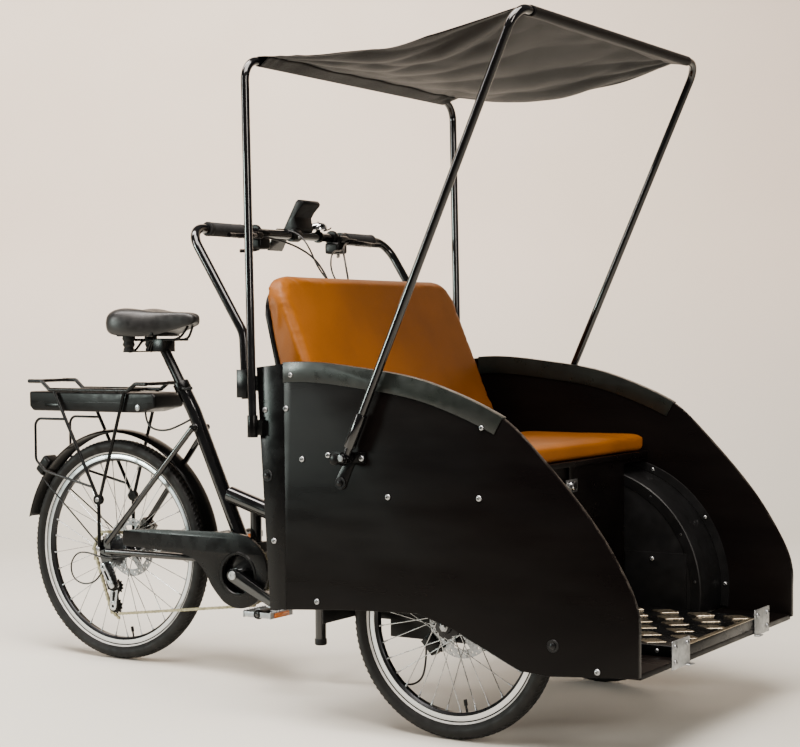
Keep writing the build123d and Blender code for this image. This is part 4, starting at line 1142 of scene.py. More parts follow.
eased("tail_lamp", 0.006, moulded_black, "rear_frame", 3)
lamp_angle = math.radians(140)
lamp_out = Vector((math.cos(lamp_angle), 0, math.sin(lamp_angle)))
lamp_up = Vector((-lamp_out.z, 0, lamp_out.x))
ruby_lens = mottled(
    "ribbed_ruby_lens", "#5A0A0C", "#8C1114", 12, 2.0, 0.3, (0.1, 0.2), {"Coat Weight": 0.8, "Coat Roughness": 0.05}
)
lens_middle = rear_axle + lamp_out * (0.328 + 0.030)
lens_rows = [[
    lens_middle + lamp_up * (0.022 * v / 6) + Vector((0, 0.0175 * u / 8, 0))
    + lamp_out * (0.0028 * (1 - (u / 8) ** 4) * (1 - (v / 6) ** 4) + (0.0004 if (u + v) % 2 else 0) - 0.0004)
    for u in range(-8, 9)
] for v in range(-6, 7)]
lens = piece_from(lofted(lens_rows, closed=False, caps=False), "tail_lens", 60)
finish_piece(walled(lens, "wall", 0.002), ruby_lens, "rear_frame")

# Passenger box: birch plywood with a satin phenol film, near black with a brown cast, its faint
# pressing lines running along the panels; square edges are broken and sealed in black.
film_ply = mottled(
    "phenol_film_plywood", "#060404", "#0B0807", 140, 2.6, 0.03, (0.26, 0.38), {"Specular IOR Level": 0.09},
    stretch=(0.22, 1, 1),
)
trim_grey = mottled(
    "powder_coated_trim_grey", "#131614", "#1A1E1B", 60, 0.9, 0.04, (0.26, 0.4), {"Specular IOR Level": 0.35}
)
eased("side_panels", 0.0012, film_ply, "passenger_box", 2)
eased("corner_posts", 0.0012, satin_black, "passenger_box", 2)
eased("edge_trims", 0.0006, trim_grey, "passenger_box", 2)
for node in ("bench_box", "floor_board"):
    eased(node, 0.001, film_ply, "passenger_box", 2)


def round_top(shape, half_width, top, radius):
    """Rounds the two upper corners of a board or pad that stands across the cycle."""
    for side in (-1, 1):
        for degrees in range(20, 90, 10):
            out = Vector((0, side * math.cos(math.radians(degrees)), math.sin(math.radians(degrees))))
            cut = bmesh.ops.bisect_plane(
                shape, geom=shape.verts[:] + shape.edges[:] + shape.faces[:], plane_no=out, clear_outer=True,
                plane_co=Vector((0, side * (half_width - radius), top - radius)) + out * radius,
            )["geom_cut"]
            bmesh.ops.holes_fill(shape, edges=[e for e in cut if isinstance(e, bmesh.types.BMEdge)])


board = solid_copy("rear_wall")
round_top(board, 0.386, 0.996, 0.085)
board = piece_from(board, "rounded_rear_wall", 30)
board.data.materials.clear()
finish_piece(broken(board, 0.001), film_ply, "passenger_box", "rear_wall")
eased("bench_lid", 0.001, film_ply, "seat_lid", 2)
small, large = [], []
for x, z in (
    (0.828, 0.712), (0.886, 0.716), (0.929, 0.604), (0.999, 0.615), (1.091, 0.611), (1.155, 0.529), (1.381, 0.536),
    (0.850, 0.417), (0.966, 0.288), (1.653, 0.197),
):
    for side in (-1, 1):
        small.append(((rear_axle.x + x, side * (0.4540 if x == 1.091 else 0.4489), z), (0, side, 0)))
        if x > 0.9:
            small.append(((rear_axle.x + x, side * 0.4341, z), (0, -side, 0), (0.8, 0.8, 0.8)))
for x, z in ((0.833, 0.564), (1.033, 0.555), (1.553, 0.241)):
    for side in (-1, 1):
        large.append(((rear_axle.x + x, side * (0.4519 if x == 1.033 else 0.4489), z), (0, side, 0)))
for x, z in ((0.901, 0.791), (1.389, 0.684)):
    for side in (-1, 1):
        small.append(((rear_axle.x + x, side * 0.4514, z), (0, side, 0), (0.85, 0.85, 0.85)))
set_parts("panel_screws", button_head(0.0068, 0.0042), small, plated_steel, "passenger_box")
dark_steel = mottled(
    "black_oxide_steel", "#2C2C2D", "#1E1E1F", 14, 0.5, 0.01, (0.28, 0.42), {"Metallic": 0.9}
)
set_parts("panel_washers", washer(0.0135, 0.0018), large, dark_steel, "passenger_box")

# Wheel wells: vacuum-formed black plastic arches with a fine haircell grain, screwed to the boards.
well_plastic = mottled(
    "haircell_abs", "#080808", "#0D0D0E", 70, 1.8, 0.06, (0.36, 0.5), {"Specular IOR Level": 0.22}
)
eased("wheel_wells", 0.0012, well_plastic, "passenger_box", 2)
well_screws, rim_parts = [], []
for side in (-1, 1):
    for reach, y, size, places in (
        (0.298 - 0.013, 0.3018, (0.7, 0.7, 0.6), (6, 30, 54, 78, 102)), (0.3085, 0.4302, (0.8, 0.8, 0.8), (2, 34, 68)),
    ):
        for degrees in places:
            screw_x, screw_z = polar(reach, math.radians(degrees), front_axle_x, front_radius)
            well_screws.append(((screw_x, side * y, screw_z), (0, -side, 0), size))
    for flange in (
        ((0.2725, 0.3022), (0.2740, 0.3002), (0.2960, 0.3002), (0.2982, 0.3022)),
        ((0.2978, 0.4338), (0.2978, 0.4300), (0.2990, 0.4290), (0.3180, 0.4312), (0.3190, 0.4338)),
    ):
        flange = lofted(arc_rows([(r, side * y) for r, y in flange], -8, 140, 80, front_axle_x, front_radius))
        rim_parts.append(coated(piece_from(flange, "flange", 30), well_plastic))
    cover_low, cover_high = sorted((side * 0.2985, side * 0.3018))
    rim_parts.append(slab(
        "hub_cover", (front_axle_x + 0.100, cover_low, 0.2005), (front_axle_x + 0.262, cover_high, 0.3460), 0.0012,
        well_plastic,
    ))
    well_screws.append(((front_axle_x + 0.172, side * 0.2986, 0.329), (0, -side, 0)))
finish_piece(joined("well_flanges", rim_parts), well_plastic, "passenger_box")
set_parts("well_screws", button_head(0.0065, 0.003), well_screws, plated_steel, "passenger_box")


# Foot plate: a black sheet on the floor board, with rows of raised bright aluminium diamonds that
# alternate by half a pitch, a bright nosing on its front edge and galvanised corner brackets.
galvanised = mottled(
    "galvanised_steel_plate", "#B4B7B8", "#8F9395", 16, 1.2, 0.03, (0.3, 0.48), {"Metallic": 0.9}
)
diamond_alloy = mottled(
    "brushed_tread_aluminium", "#B7AC97", "#A3957C", 9, 0.6, 0.02, (0.26, 0.42), {"Metallic": 1.0}, stretch=(1, 0.2, 1)
)
eased("step_plate", 0.0015, satin_black, "passenger_box", 2)
eased("step_brackets", 0.001, galvanised, "passenger_box", 2)


def diamond_tree():
    """Diamonds in rows along X, every other row moved by half a pitch."""
    tree, given = open_tree("foot_plate_diamonds", (
        ("Plate", "Geometry"), ("Diamond", "Object"), ("Pitch", "Float"), ("Row gap", "Float"), ("Columns", "Int"),
        ("Rows", "Int"), ("Finish", "Material"),
    ))

    def sum_of(operation, *values):
        """One step of arithmetic on sockets and numbers."""
        return add_node(tree, "ShaderNodeMath", dict(enumerate(values)), operation=operation).outputs[0]

    count = sum_of("MULTIPLY", given["Columns"], given["Rows"])
    line = add_node(tree, "GeometryNodeMeshLine", {"Count": count}, mode="OFFSET")
    index = add_node(tree, "GeometryNodeInputIndex").outputs[0]
    row = sum_of("FLOOR", sum_of("DIVIDE", index, given["Columns"]))
    column = sum_of("MODULO", index, given["Columns"])
    shift = sum_of("MULTIPLY_ADD", sum_of("MODULO", row, 2.0), 0.5, column)
    x, y = sum_of("MULTIPLY", shift, given["Pitch"]), sum_of("MULTIPLY", row, given["Row gap"])
    place = add_node(tree, "ShaderNodeCombineXYZ", {"X": x, "Y": y})
    spread = add_node(tree, "GeometryNodeSetPosition", {"Geometry": line.outputs[0], "Position": place.outputs[0]})
    part = add_node(tree, "GeometryNodeObjectInfo", {"Object": given["Diamond"]}).outputs["Geometry"]
    placed = add_node(tree, "GeometryNodeInstanceOnPoints", {"Points": spread.outputs[0], "Instance": part})
    return close_tree(tree, placed, given["Finish"])


diamond = piece_from(lofted([
    [
        (x * length, y * width, level)
        for x, y in ((1, -0.06), (1, 0.06), (0.06, 1), (-0.06, 1), (-1, 0.06), (-1, -0.06), (-0.06, -1), (0.06, -1))
    ]
    for level, length, width in ((-0.0004, 0.034, 0.026), (0.0008, 0.0335, 0.0255), (0.0018, 0.030, 0.022))
]), "diamond", 20)
plate_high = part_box("step_plate")[1]
diamond_pitch, row_gap = 0.0890, 0.0760
seed = bpy.data.meshes.new("diamond_seed")
seed.from_pydata([(0, 0, 0)], [], [])
diamonds = made_plain("foot_plate_diamonds", linked("diamond_seed", seed), diamond_tree(), {
    "Diamond": diamond, "Pitch": diamond_pitch, "Row gap": row_gap, "Columns": 4, "Rows": 6, "Finish": diamond_alloy,
}, 20)
bpy.data.objects.remove(diamond)
diamonds.data.transform(Matrix.Translation(
    (plate_high.x - 0.0405 - 3.5 * diamond_pitch, -2.5 * row_gap, plate_high.z)
))
finish_piece(diamonds, diamond_alloy, "passenger_box")
nosing = slab(
    "step_nosing", (plate_high.x - 0.010, -0.189, plate_high.z - 0.0005),
    (plate_high.x + 0.0016, 0.189, plate_high.z + 0.0016), 0.0007, diamond_alloy,
)
finish_piece(nosing, diamond_alloy, "passenger_box")
bracket_screws = []
for side in (-1, 1):
    for y, z in ((0.268, 0.196), (0.268, 0.228), (0.205, 0.228)):
        bracket_screws.append(((front_axle_x + 0.4769, side * y, z), (1, 0, 0)))
    bracket_screws.append(((front_axle_x + 0.420, side * 0.2319, 0.2095), (0, side, 0), (0.8, 0.8, 0.8)))
set_parts("bracket_screws", button_head(0.0062, 0.004), bracket_screws, plated_steel, "passenger_box")

# Upholstery: foam cushions in a tan coated fabric with a fine leather grain, the cover pulled tight
# over the rounded corners and blown up a little by the foam, with patches of slightly darker tan.
tan_vinyl, tan_tree, tan_shader = new_finish(
    "grained_tan_vinyl", "#7A4400", {"Roughness": 0.46, "Specular IOR Level": 0.2}
)
tan_place = add_node(tan_tree, "ShaderNodeTexCoord").outputs["Object"]
tan_patches = add_node(tan_tree, "ShaderNodeTexNoise", {"Vector": tan_place, "Scale": 7.0, "Detail": 3.0})
tan_fibres = add_node(tan_tree, "ShaderNodeTexNoise", {"Vector": tan_place, "Scale": 700.0, "Detail": 2.0})
tan_mix = add_node(
    tan_tree, "ShaderNodeMath", {0: tan_patches.outputs["Fac"], 1: tan_fibres.outputs["Fac"]}, operation="MULTIPLY"
)
tan_spread = add_node(
    tan_tree, "ShaderNodeMapRange", {"Value": tan_mix.outputs[0], "From Min": 0.15, "From Max": 0.36}
)
tan_tree.links.new(mixed(tan_tree, tan_spread.outputs[0], "#713E00", "#834A03"), tan_shader.inputs["Base Color"])
tan_pebbles = add_node(
    tan_tree, "ShaderNodeTexVoronoi", {"Vector": tan_place, "Scale": 620.0}, feature="SMOOTH_F1"
)
add_relief(tan_tree, tan_shader, tan_pebbles.outputs["Distance"], 0.35, 0.0004)


def stuffed(name, outline, half_width, inset, cap, voxel, finish, corner=0.0):
    """A foam cushion: its side view extruded a little small, then blown up by its cloth cover."""
    shape = lofted([[(x, side * (half_width - inset), z) for x, z in outline] for side in (-1, 1)])
    if corner:
        round_top(shape, half_width - inset, max(z for x, z in outline), corner)
    bmesh.ops.bevel(
        shape, geom=[e for e in shape.edges if e.calc_face_angle() > math.radians(25)], segments=3,
        offset=0.006, profile=0.5, affect="EDGES", clamp_overlap=True,
    )
    pad = piece_from(shape, name, 180)
    grid = pad.modifiers.new("even_mesh", "REMESH")
    grid.mode = "VOXEL"
    grid.voxel_size = voxel
    start = [vert.co.copy() for vert in applied(pad).data.vertices]
    cover = pad.modifiers.new("cover", "CLOTH")
    cover.settings.use_pressure = True
    cover.settings.uniform_pressure_force = 4.0
    cover.settings.mass = 0.3
    cover.settings.tension_stiffness = 30
    cover.settings.bending_stiffness = 0.8
    cover.settings.effector_weights.gravity = 0
    cover.point_cache.frame_start, cover.point_cache.frame_end = 1, 20
    for moment in range(1, 21):
        bpy.context.scene.frame_set(moment)
    for vert, old in zip(applied(pad).data.vertices, start):
        move = vert.co - old
        if move.length > cap:
            vert.co = old + move.normalized() * cap
    bpy.context.scene.frame_set(1)
    pad.data.shade_smooth()
    pad.data.materials.clear()
    return coated(pad, finish)


def held_inside(pad, node, over):
    """Keeps a cushion in the box of its solid, with the room that over gives each way."""
    low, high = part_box(node)
    for vert in pad.data.vertices:
        for axis in range(3):
            bottom, top = low[axis] - over[axis][0], high[axis] + over[axis][1]
            vert.co[axis] = min(max(vert.co[axis], bottom), top)


back_outline = [(-0.313, 0.650), (-0.313, 0.676)]
back_outline += [
    (-0.313 - 0.136 * share, 0.676 + 0.324 * share) for share in (0.2, 0.4, 0.6, 0.76, 0.84, 0.9, 0.95, 0.98)
]
back_outline += [
    (-0.4520, 1.015), (-0.4680, 1.024), (-0.4890, 1.014), (-0.4855, 0.994), (-0.4810, 0.976), (-0.4770, 0.958),
    (-0.4700, 0.928), (-0.4570, 0.872), (-0.4350, 0.786), (-0.4270, 0.745), (-0.4270, 0.650),
]
backrest_pad = stuffed(
    "backrest_cushion", [(front_axle_x + x, z) for x, z in back_outline], 0.399, 0.003, 0.008, 0.0055, tan_vinyl, 0.075
)
held_inside(backrest_pad, "backrest", ((0.002, 0.004), (0.009, 0.009), (0.0, 0.009)))
seat_low, seat_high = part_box("seat_cushion")
seat_outline = [
    (seat_low.x + 0.006, seat_low.z + 0.003), (seat_high.x - 0.006, seat_low.z + 0.003),
    (seat_high.x - 0.004, seat_high.z - 0.007), (seat_low.x + 0.006, seat_high.z - 0.007),
]
seat_pad = stuffed("seat_cushion_pad", seat_outline, 0.425, 0.004, 0.006, 0.0055, tan_vinyl)
held_inside(seat_pad, "seat_cushion", ((0.0, 0.004), (0.003, 0.003), (-0.0005, 0.004)))
for pad, node, body in ((backrest_pad, "backrest", "passenger_box"), (seat_pad, "seat_cushion", "seat_lid")):
    smoother = pad.modifiers.new("soft", "SMOOTH")
    smoother.iterations = 3
    applied(pad).data.shade_smooth()
    finish_piece(pad, tan_vinyl, body, node)

# Hoops, handlebar and controls: painted steel tube with sleeves and pivots for the canopy, ribbed
# rubber grips, brake levers on clamps, a chrome bell, a tilted display and the hoses behind the box.
for node in ("handlebar", "rear_hoop", "front_hoop"):
    paint(node, gloss_black)
eased("hoop_fittings", 0.0012, satin_black, "passenger_box", 2)
leg_way = Vector((0.426, 0, 0.931)).normalized()
pivot_x, pivot_z = front_axle_x - 0.208, 0.612
knobs, nuts, arms, sleeves = [], [], [], []
for side in (-1, 1):
    knobs.append(coated(turned("knob", [
        (0, 0.014), (0.0090, 0.0140), (0.0120, 0.0120), (0.0125, 0.0100), (0.0118, 0.0080), (0.0125, 0.0060),
        (0.0120, 0.0035), (0.0070, 0.0020), (0.0070, 0.0), (0, 0),
    ], (0.3080, side * 0.4538, 0.607), axis=(0, side, 0), steps=40), moulded_black))
    nuts.append(coated(turned("nut", [
        (0, 0.0075), (0.0060, 0.0075), (0.0062, 0.0060), (0.0092, 0.0055), (0.0098, 0.0045), (0.0098, 0.0), (0, 0),
    ], (pivot_x, side * 0.4832, pivot_z), axis=(0, side, 0), steps=6), plated_steel))
    arm = flat_plate(
        "arm", [capsule((0.3410, -side * 0.604), 0.0125, (0.3153, -side * 0.555), 0.0150)], 0.0030,
        (0, side * 0.4490, 0), (0, side, 0), (1, 0, 0),
    )
    arms.append(coated(broken(arm, 0.0006), satin_black))
    sleeves.append(coated(turned("sleeve", [
        (0.0097, 0.0), (0.0122, 0.0), (0.0130, 0.0015), (0.0130, 0.0780), (0.0120, 0.0800), (0.0097, 0.0800),
        (0.0097, 0),
    ], (pivot_x + leg_way.x * 0.026, side * 0.470, pivot_z + leg_way.z * 0.026), axis=leg_way, steps=40), gloss_black))
finish_piece(joined("pivot_knobs", knobs), moulded_black, "passenger_box")
finish_piece(joined("pivot_nuts", nuts), plated_steel, "passenger_box")
finish_piece(joined("pivot_arms", arms), satin_black, "passenger_box")
finish_piece(joined("hoop_sleeves", sleeves), gloss_black, "canopy_bow")
bar_x, bar_z = -0.1247, 1.132
chrome = mottled("bright_chrome", "#D9DADB", "#CFD0D2", 30, 0.8, 0.003, (0.05, 0.1), {"Metallic": 1.0})
grip_rings = []
bore = 0.0114
profile = [(bore, 0.0), (0.0165, 0.0), (0.0172, 0.0015), (0.0172, 0.0045), (0.0162, 0.006)]
for k in range(19):
    rib_at = 0.010 + k * 0.0055
    profile += [(0.0156, rib_at), (0.0166, rib_at + 0.0012), (0.0166, rib_at + 0.0032), (0.0156, rib_at + 0.0044)]
profile += [(0.0162, 0.119), (0.0172, 0.1215), (0.0172, 0.1275), (0.0160, 0.130), (bore, 0.130), (bore, 0.0)]
for side in (-1, 1):
    grip = turned("grip", profile, (bar_x, side * 0.225, bar_z), axis=(0, side, 0), steps=48)
    grip_rings.append(coated(grip, rubber))
finish_piece(joined("bar_grips", grip_rings), rubber, "passenger_box", "grips")

controls = []
for side in (-1, 1):
    for name, line, radius, steps, finish in (
        ("trigger", [(0.016, 0.172, -0.040), (0.004, 0.192, -0.047), (-0.012, 0.212, -0.046)],
         0.0045, 12, moulded_black),
        ("blade", [(0.034, 0.208, -0.010), (0.046, 0.228, -0.012), (0.047, 0.262, -0.014), (0.041, 0.300, -0.015),
                   (0.046, 0.328, -0.015)], 0.0060, 16, satin_black),
    ):
        line = [(bar_x + x, side * y, bar_z + z) for x, y, z in line]
        controls.append(coated(swept(name, line, radius, steps), finish))
    for name, place, way, steps, finish, line in (
        ("reservoir", (0.030, 0.190, -0.004), -side, 24, satin_black, [
            (0, 0.034), (0.0080, 0.0340), (0.0095, 0.0320), (0.0095, 0.0040), (0.0080, 0.0), (0, 0),
        ]),
        ("clamp", (0, 0.199, 0), side, 40, satin_black, [
            (bore, 0), (0.0150, 0), (0.0165, 0.002), (0.0165, 0.016), (0.0150, 0.018), (bore, 0.018), (bore, 0),
        ]),
        ("shifter", (0, 0.160, 0), side, 36, moulded_black, [
            (bore, 0), (0.0175, 0), (0.0195, 0.003), (0.0195, 0.010), (0.0180, 0.013), (bore, 0.013), (bore, 0),
        ]),
    ):
        spot = (bar_x + place[0], side * place[1], bar_z + place[2])
        controls.append(coated(turned(name, line, spot, axis=(0, way, 0), steps=steps), finish))
    for name, x, y, z, edge, finish in (
        ("lever_body", (0.008, 0.042), (0.186, 0.226), (-0.018, -0.002), 0.005, satin_black),
        ("pod", (-0.010, 0.034), (0.146, 0.190), (-0.042, -0.012), 0.008, moulded_black),
    ):
        y = sorted((side * y[0], side * y[1]))
        controls.append(slab(
            name, (bar_x + x[0], y[0], bar_z + z[0]), (bar_x + x[1], y[1], bar_z + z[1]), edge, finish, 3
        ))
finish_piece(joined("brake_levers", controls), satin_black, "passenger_box", "bar_controls")
bell = turned("bell", [
    (0, 0.018), (0.0225, 0.0180), (0.0240, 0.0195), (0.0240, 0.0225), (0.0225, 0.0290), (0.0180, 0.0345),
    (0.0100, 0.0375), (0.0035, 0.0382), (0.0030, 0.0400), (0, 0.0402),
], (bar_x, 0.105, bar_z), axis=(0, 0, 1), steps=56)
finish_piece(bell, chrome, "passenger_box")
bell_base = joined("bell_clamp", [
    turned("ring", [
        (bore, 0), (0.0145, 0), (0.0150, 0.001), (0.0150, 0.011), (0.0145, 0.012), (bore, 0.012), (bore, 0),
    ], (bar_x, 0.099, bar_z), axis=(0, 1, 0), steps=36),
    turned("post", [
        (0, 0.013), (0.0065, 0.013), (0.0055, 0.019), (0, 0.019),
    ], (bar_x, 0.105, bar_z), axis=(0, 0, 1), steps=24),
    swept("striker", [
        (bar_x + 0.012, 0.112, bar_z + 0.016), (bar_x + 0.028, 0.116, bar_z + 0.018),
        (bar_x + 0.033, 0.116, bar_z + 0.024),
    ], 0.0018),
])
finish_piece(bell_base, satin_black, "passenger_box")

casing_line = [
    (-0.037, 0.010), (-0.034, 0.006), (-0.012, 0.006), (0.004, 0.010), (0.010, 0.020), (0.004, 0.034), (0.002, 0.046),
    (0.010, 0.058), (0.029, 0.076), (0.030, 0.082), (0.024, 0.089), (0.012, 0.090), (0.006, 0.085),
]
casing = flat_plate("casing", [casing_line], 0.076, (bar_x, 0.035, bar_z), (0, -1, 0), (1, 0, 0))
casing = coated(broken(casing, 0.0040, 3), moulded_black)
bracket = coated(turned("bracket", [
    (bore, 0.0), (0.0160, 0.0), (0.0168, 0.0015), (0.0168, 0.0305), (0.0160, 0.0320), (bore, 0.0320), (bore, 0.0),
], (bar_x, -0.019, bar_z), axis=(0, 1, 0), steps=40), moulded_black)
bracket_screw = coated(turned("screw", [
    (0, 0.004), (0.0030, 0.0040), (0.0042, 0.0030), (0.0042, 0.0), (0, 0),
], (bar_x + 0.0160, -0.004, bar_z - 0.004), axis=(1, 0, 0), steps=20), plated_steel)
finish_piece(joined("display_casing", [casing, bracket, bracket_screw]), moulded_black, "passenger_box", "display")
dark_glass = new_finish("dark_display_glass", "#06080A", {"Roughness": 0.06, "Coat Weight": 0.6})[0]
face_way = Vector((-0.88, 0, 0.47)).normalized()
glass = flat_plate("display_glass", [[
    (-0.033, 0.004), (-0.030, 0.001), (0.030, 0.001), (0.033, 0.004), (0.033, 0.060), (0.030, 0.063), (-0.030, 0.063),
    (-0.033, 0.060),
]], 0.0012, (bar_x - 0.0310, -0.003, bar_z + 0.0185), face_way, (0, 1, 0))
finish_piece(glass, dark_glass, "passenger_box")

grommets = []
for side in (-1, 1):
    name = "right_brake_hose" if side < 0 else "left_brake_hose"
    cord(name, [
        (bar_x + 0.036, side * 0.188, bar_z - 0.012), (bar_x + 0.070, side * 0.110, bar_z - 0.022),
        (front_axle_x - 0.548, side * 0.046, bar_z - 0.084), (front_axle_x - 0.516, side * 0.036, bar_z - 0.220),
        (front_axle_x - 0.456, side * 0.036, 0.780), (front_axle_x - 0.445, side * 0.036, 0.700),
        (front_axle_x - 0.445, side * 0.036, 0.425),
    ], 0.005, 0.82, housing_black, "passenger_box", *(["cables"] if side < 0 else []))
    lead = [
        (bar_x + 0.034, side * 0.168, bar_z - 0.026), (bar_x + 0.060, side * 0.130, bar_z - 0.036),
        (bar_x + 0.085, side * 0.040, bar_z - 0.040), (bar_x + 0.098, side * 0.016, bar_z - 0.095),
        (bar_x + 0.140, side * 0.014, bar_z - 0.145), (0.0605, side * 0.014, 0.950),
    ]
    if side < 0:
        lead = [
            (bar_x + 0.004, -0.030, bar_z + 0.010), (bar_x + 0.034, -0.032, bar_z + 0.004),
            (bar_x + 0.078, -0.050, bar_z - 0.030), (bar_x + 0.094, -0.030, bar_z - 0.090),
            (bar_x + 0.140, -0.014, bar_z - 0.145), (0.0605, -0.014, 0.950),
        ]
    cord(
        "display_lead" if side < 0 else "shifter_housing", lead, 0.0044, 0.28 if side < 0 else 0.315,
        housing_black, "passenger_box",
    )
    grommets.append(coated(turned("grommet", [
        (0.0022, 0.0), (0.0075, 0.0), (0.0080, 0.0015), (0.0060, 0.0030), (0.0040, 0.0060), (0.0022, 0.0060),
        (0.0022, 0),
    ], (0.0610, side * 0.014, 0.9490), axis=(-0.97, 0, 0.23), steps=28), rubber))
    hose = [
        (0.452, 0.318, 0.188), (0.452, 0.318, 0.150), (0.440, 0.320, 0.105), (0.395, 0.322, 0.092),
        (0.350, 0.322, 0.125), (0.335, 0.322, 0.195), (0.333, 0.322, 0.250), (0.333, 0.316, 0.300),
        (0.333, 0.3050, 0.345),
    ]
    cord(
        "right_front_hose" if side < 0 else "left_front_hose", [(x, side * y, z) for x, y, z in hose], 0.0048, 0.4,
        housing_black, "passenger_box",
    )
finish_piece(joined("cable_grommets", grommets), rubber, "passenger_box")
cord("battery_lead", [
    (rear_axle.x + 0.120, -0.030, 0.678), (rear_axle.x + 0.122, -0.031, 0.655), (rear_axle.x + 0.145, -0.033, 0.632),
    (rear_axle.x + 0.190, -0.030, 0.628), (rear_axle.x + 0.230, -0.022, 0.643), (rear_axle.x + 0.264, -0.013, 0.661),
], 0.0056, 0.18, housing_black, "rear_frame")
eased("front_calipers", 0.002, satin_black, "passenger_box", 2)

hasp_parts = [
    slab("hasp", (0.6556, -0.034, 0.513), (0.6574, 0.024, 0.543), 0.0006, plated_steel),
    coated(turned("lock", [
        (0, 0.009), (0.0090, 0.0090), (0.0105, 0.0075), (0.0105, 0.0), (0, 0),
    ], (0.6574, -0.006, 0.528), axis=(1, 0, 0), steps=36), chrome),
]
finish_piece(joined("lid_hasp", hasp_parts), plated_steel, "seat_lid")

# Canopy: one sheet of black woven polyester, cut with a curve down each side, and sewn into a sleeve
# round each hoop; it sags a little between them and creases from its corners.
canopy_weave, weave_tree, weave_shader = new_finish(
    "black_woven_polyester", "#080808", {"Roughness": 0.42, "Specular IOR Level": 0.08}
)
weave_place = add_node(weave_tree, "ShaderNodeUVMap", uv_map="UVMap").outputs["UV"]
threads = []
for direction in ("X", "Y"):
    threads.append(add_node(
        weave_tree, "ShaderNodeTexWave", {"Vector": weave_place, "Scale": 260.0, "Distortion": 0.4, "Detail": 1.0},
        bands_direction=direction,
    ).outputs["Fac"])
crossing = add_node(weave_tree, "ShaderNodeMath", {0: threads[0], 1: threads[1]}, operation="MULTIPLY")
cloth_patches = add_node(
    weave_tree, "ShaderNodeTexNoise", {"Vector": weave_place, "Scale": 9.0, "Detail": 4.0}
)
cloth_tint = mixed(weave_tree, cloth_patches.outputs["Fac"], "#050505", "#0E0D0D")
weave_tree.links.new(cloth_tint, weave_shader.inputs["Base Color"])
add_relief(weave_tree, weave_shader, crossing.outputs[0], 0.5, 0.0003)

rear_top = Vector((front_axle_x - 0.478, 0, 1.500))
front_top = Vector((front_axle_x + 0.218, 0, 1.543))
sleeve_radius, sleeve_half, seam_in = 0.0112, 0.409, 0.042
span = (front_top - rear_top).length
slope = (front_top - rear_top).normalized()
upright_way = slope.cross(Vector((0, 1, 0)))


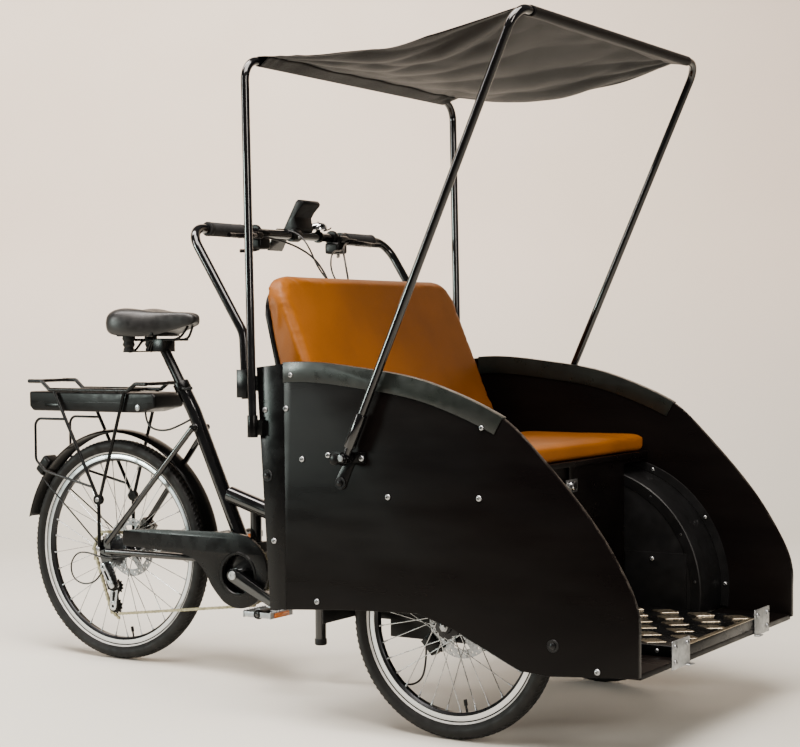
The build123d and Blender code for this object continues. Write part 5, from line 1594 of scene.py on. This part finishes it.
def canopy_point(along, across, below=0.0):
    """A point of the cloth: along is metres from the rear hoop's centre, across is -1 to 1."""
    share = min(max(along / span, 0.0), 1.0)
    bow = math.sin(math.pi * share)
    to_sleeve = min(1.0, min(along, span - along) / 0.060)
    half_width = sleeve_half + 0.022 * to_sleeve ** 0.7 - 0.016 * bow ** 1.3
    y = across * half_width
    sag = -(0.025 + 0.0165 * (across + 1)) * bow ** 1.1
    crease = 0.0
    for corner_along, corner_side, lean in ((0.0, -1, 1.0), (0.0, 1, 0.8), (span, -1, 1.2), (span, 1, 0.9)):
        dx, dy = abs(along - corner_along), abs(y - corner_side * 0.42)
        reach = math.hypot(dx, dy)
        angle = math.atan2(dy, dx + 1e-6)
        fade = math.exp(-(reach / 0.34) ** 2) * min(1.0, reach / 0.06)
        crease += 0.0135 * lean * fade * (0.6 - abs(math.sin(angle * 6.5 + 2.3 * corner_side + 3.0 * reach)))
    for edge in (along, span - along):
        crease += 0.0030 * math.exp(-(edge - 0.055) ** 2 / 0.0009) * math.sin(y * 34.0 + 2.0 * math.sin(y * 9.0 + edge))
    crease += 0.0062 * bow * (0.6 - abs(math.sin(y * 24.0 + 1.7 * math.sin(along * 6.0 + y * 7.0) + 2.0 * along)))
    drift = noise.noise(Vector((along * 4.0, y * 2.6, 0.7))) * 0.0095 + noise.noise(
        Vector((along * 11.0 + y * 5.0, y * 4.0, 3.1))
    ) * 0.0042
    calm = math.sin(math.pi * share) ** 0.6 if 0 < share < 1 else 0.0
    lift = sleeve_radius + sag + (crease + drift) * calm - below
    return rear_top + slope * along + Vector((0, y, 0)) + upright_way * lift


# Lines across the cloth, from the rear seam round its hoop, over the span, round the front hoop and
# back to its seam: each is a kind with a turn round the hoop, metres along, or a share of the return.
wrap_turn, cloth_width = 204, 0.85
columns = [("rear_return", number / 5) for number in range(5)]
columns += [("rear", math.radians(-wrap_turn + wrap_turn * number / 14)) for number in range(15)]
columns += [("span", span * number / 76) for number in range(1, 76)]
columns += [("front", math.radians(wrap_turn * number / 14)) for number in range(15)]
columns += [("front_return", 1 - number / 5) for number in range(1, 6)]
cloth = bmesh.new()
cloth_uv = cloth.loops.layers.uv.new("UVMap")
across_count = 96
cloth_rows, travelled, last = [], 0.0, None
for kind, value in columns:
    row = []
    for k in range(across_count + 1):
        across = -1 + 2 * k / across_count
        front = kind.startswith("front")
        hoop = front_top if front else rear_top
        if kind == "span":
            spot = canopy_point(value, across)
        else:
            turn = math.radians(wrap_turn if front else -wrap_turn) if kind.endswith("return") else value
            spot = hoop + Vector((0, across * sleeve_half, 0)) + (
                slope * math.sin(turn) + upright_way * math.cos(turn)
            ) * sleeve_radius
            if kind.endswith("return"):
                seam = canopy_point(span - seam_in if front else seam_in, across, 0.0014)
                spot = seam.lerp(spot, value)
        row.append(cloth.verts.new(spot))
    middle = row[across_count // 2].co.copy()
    travelled += (middle - last).length if last is not None else 0.0
    last = middle
    cloth_rows.append((row, travelled))
for (near, near_at), (far, far_at) in zip(cloth_rows, cloth_rows[1:]):
    for k in range(across_count):
        face = cloth.faces.new((near[k], far[k], far[k + 1], near[k + 1]))
        for loop, (u, v) in zip(face.loops, (
            (near_at, k), (far_at, k), (far_at, k + 1), (near_at, k + 1)
        )):
            loop[cloth_uv].uv = (u, v * cloth_width / across_count)
bmesh.ops.recalc_face_normals(cloth, faces=cloth.faces)
canopy = applied(walled(piece_from(cloth, "canopy_sheet", 180), "cloth_thickness", 0.0009))
canopy.data.shade_smooth()
canopy.data.materials.append(canopy_weave)
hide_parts("canopy_cloth")
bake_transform(canopy)
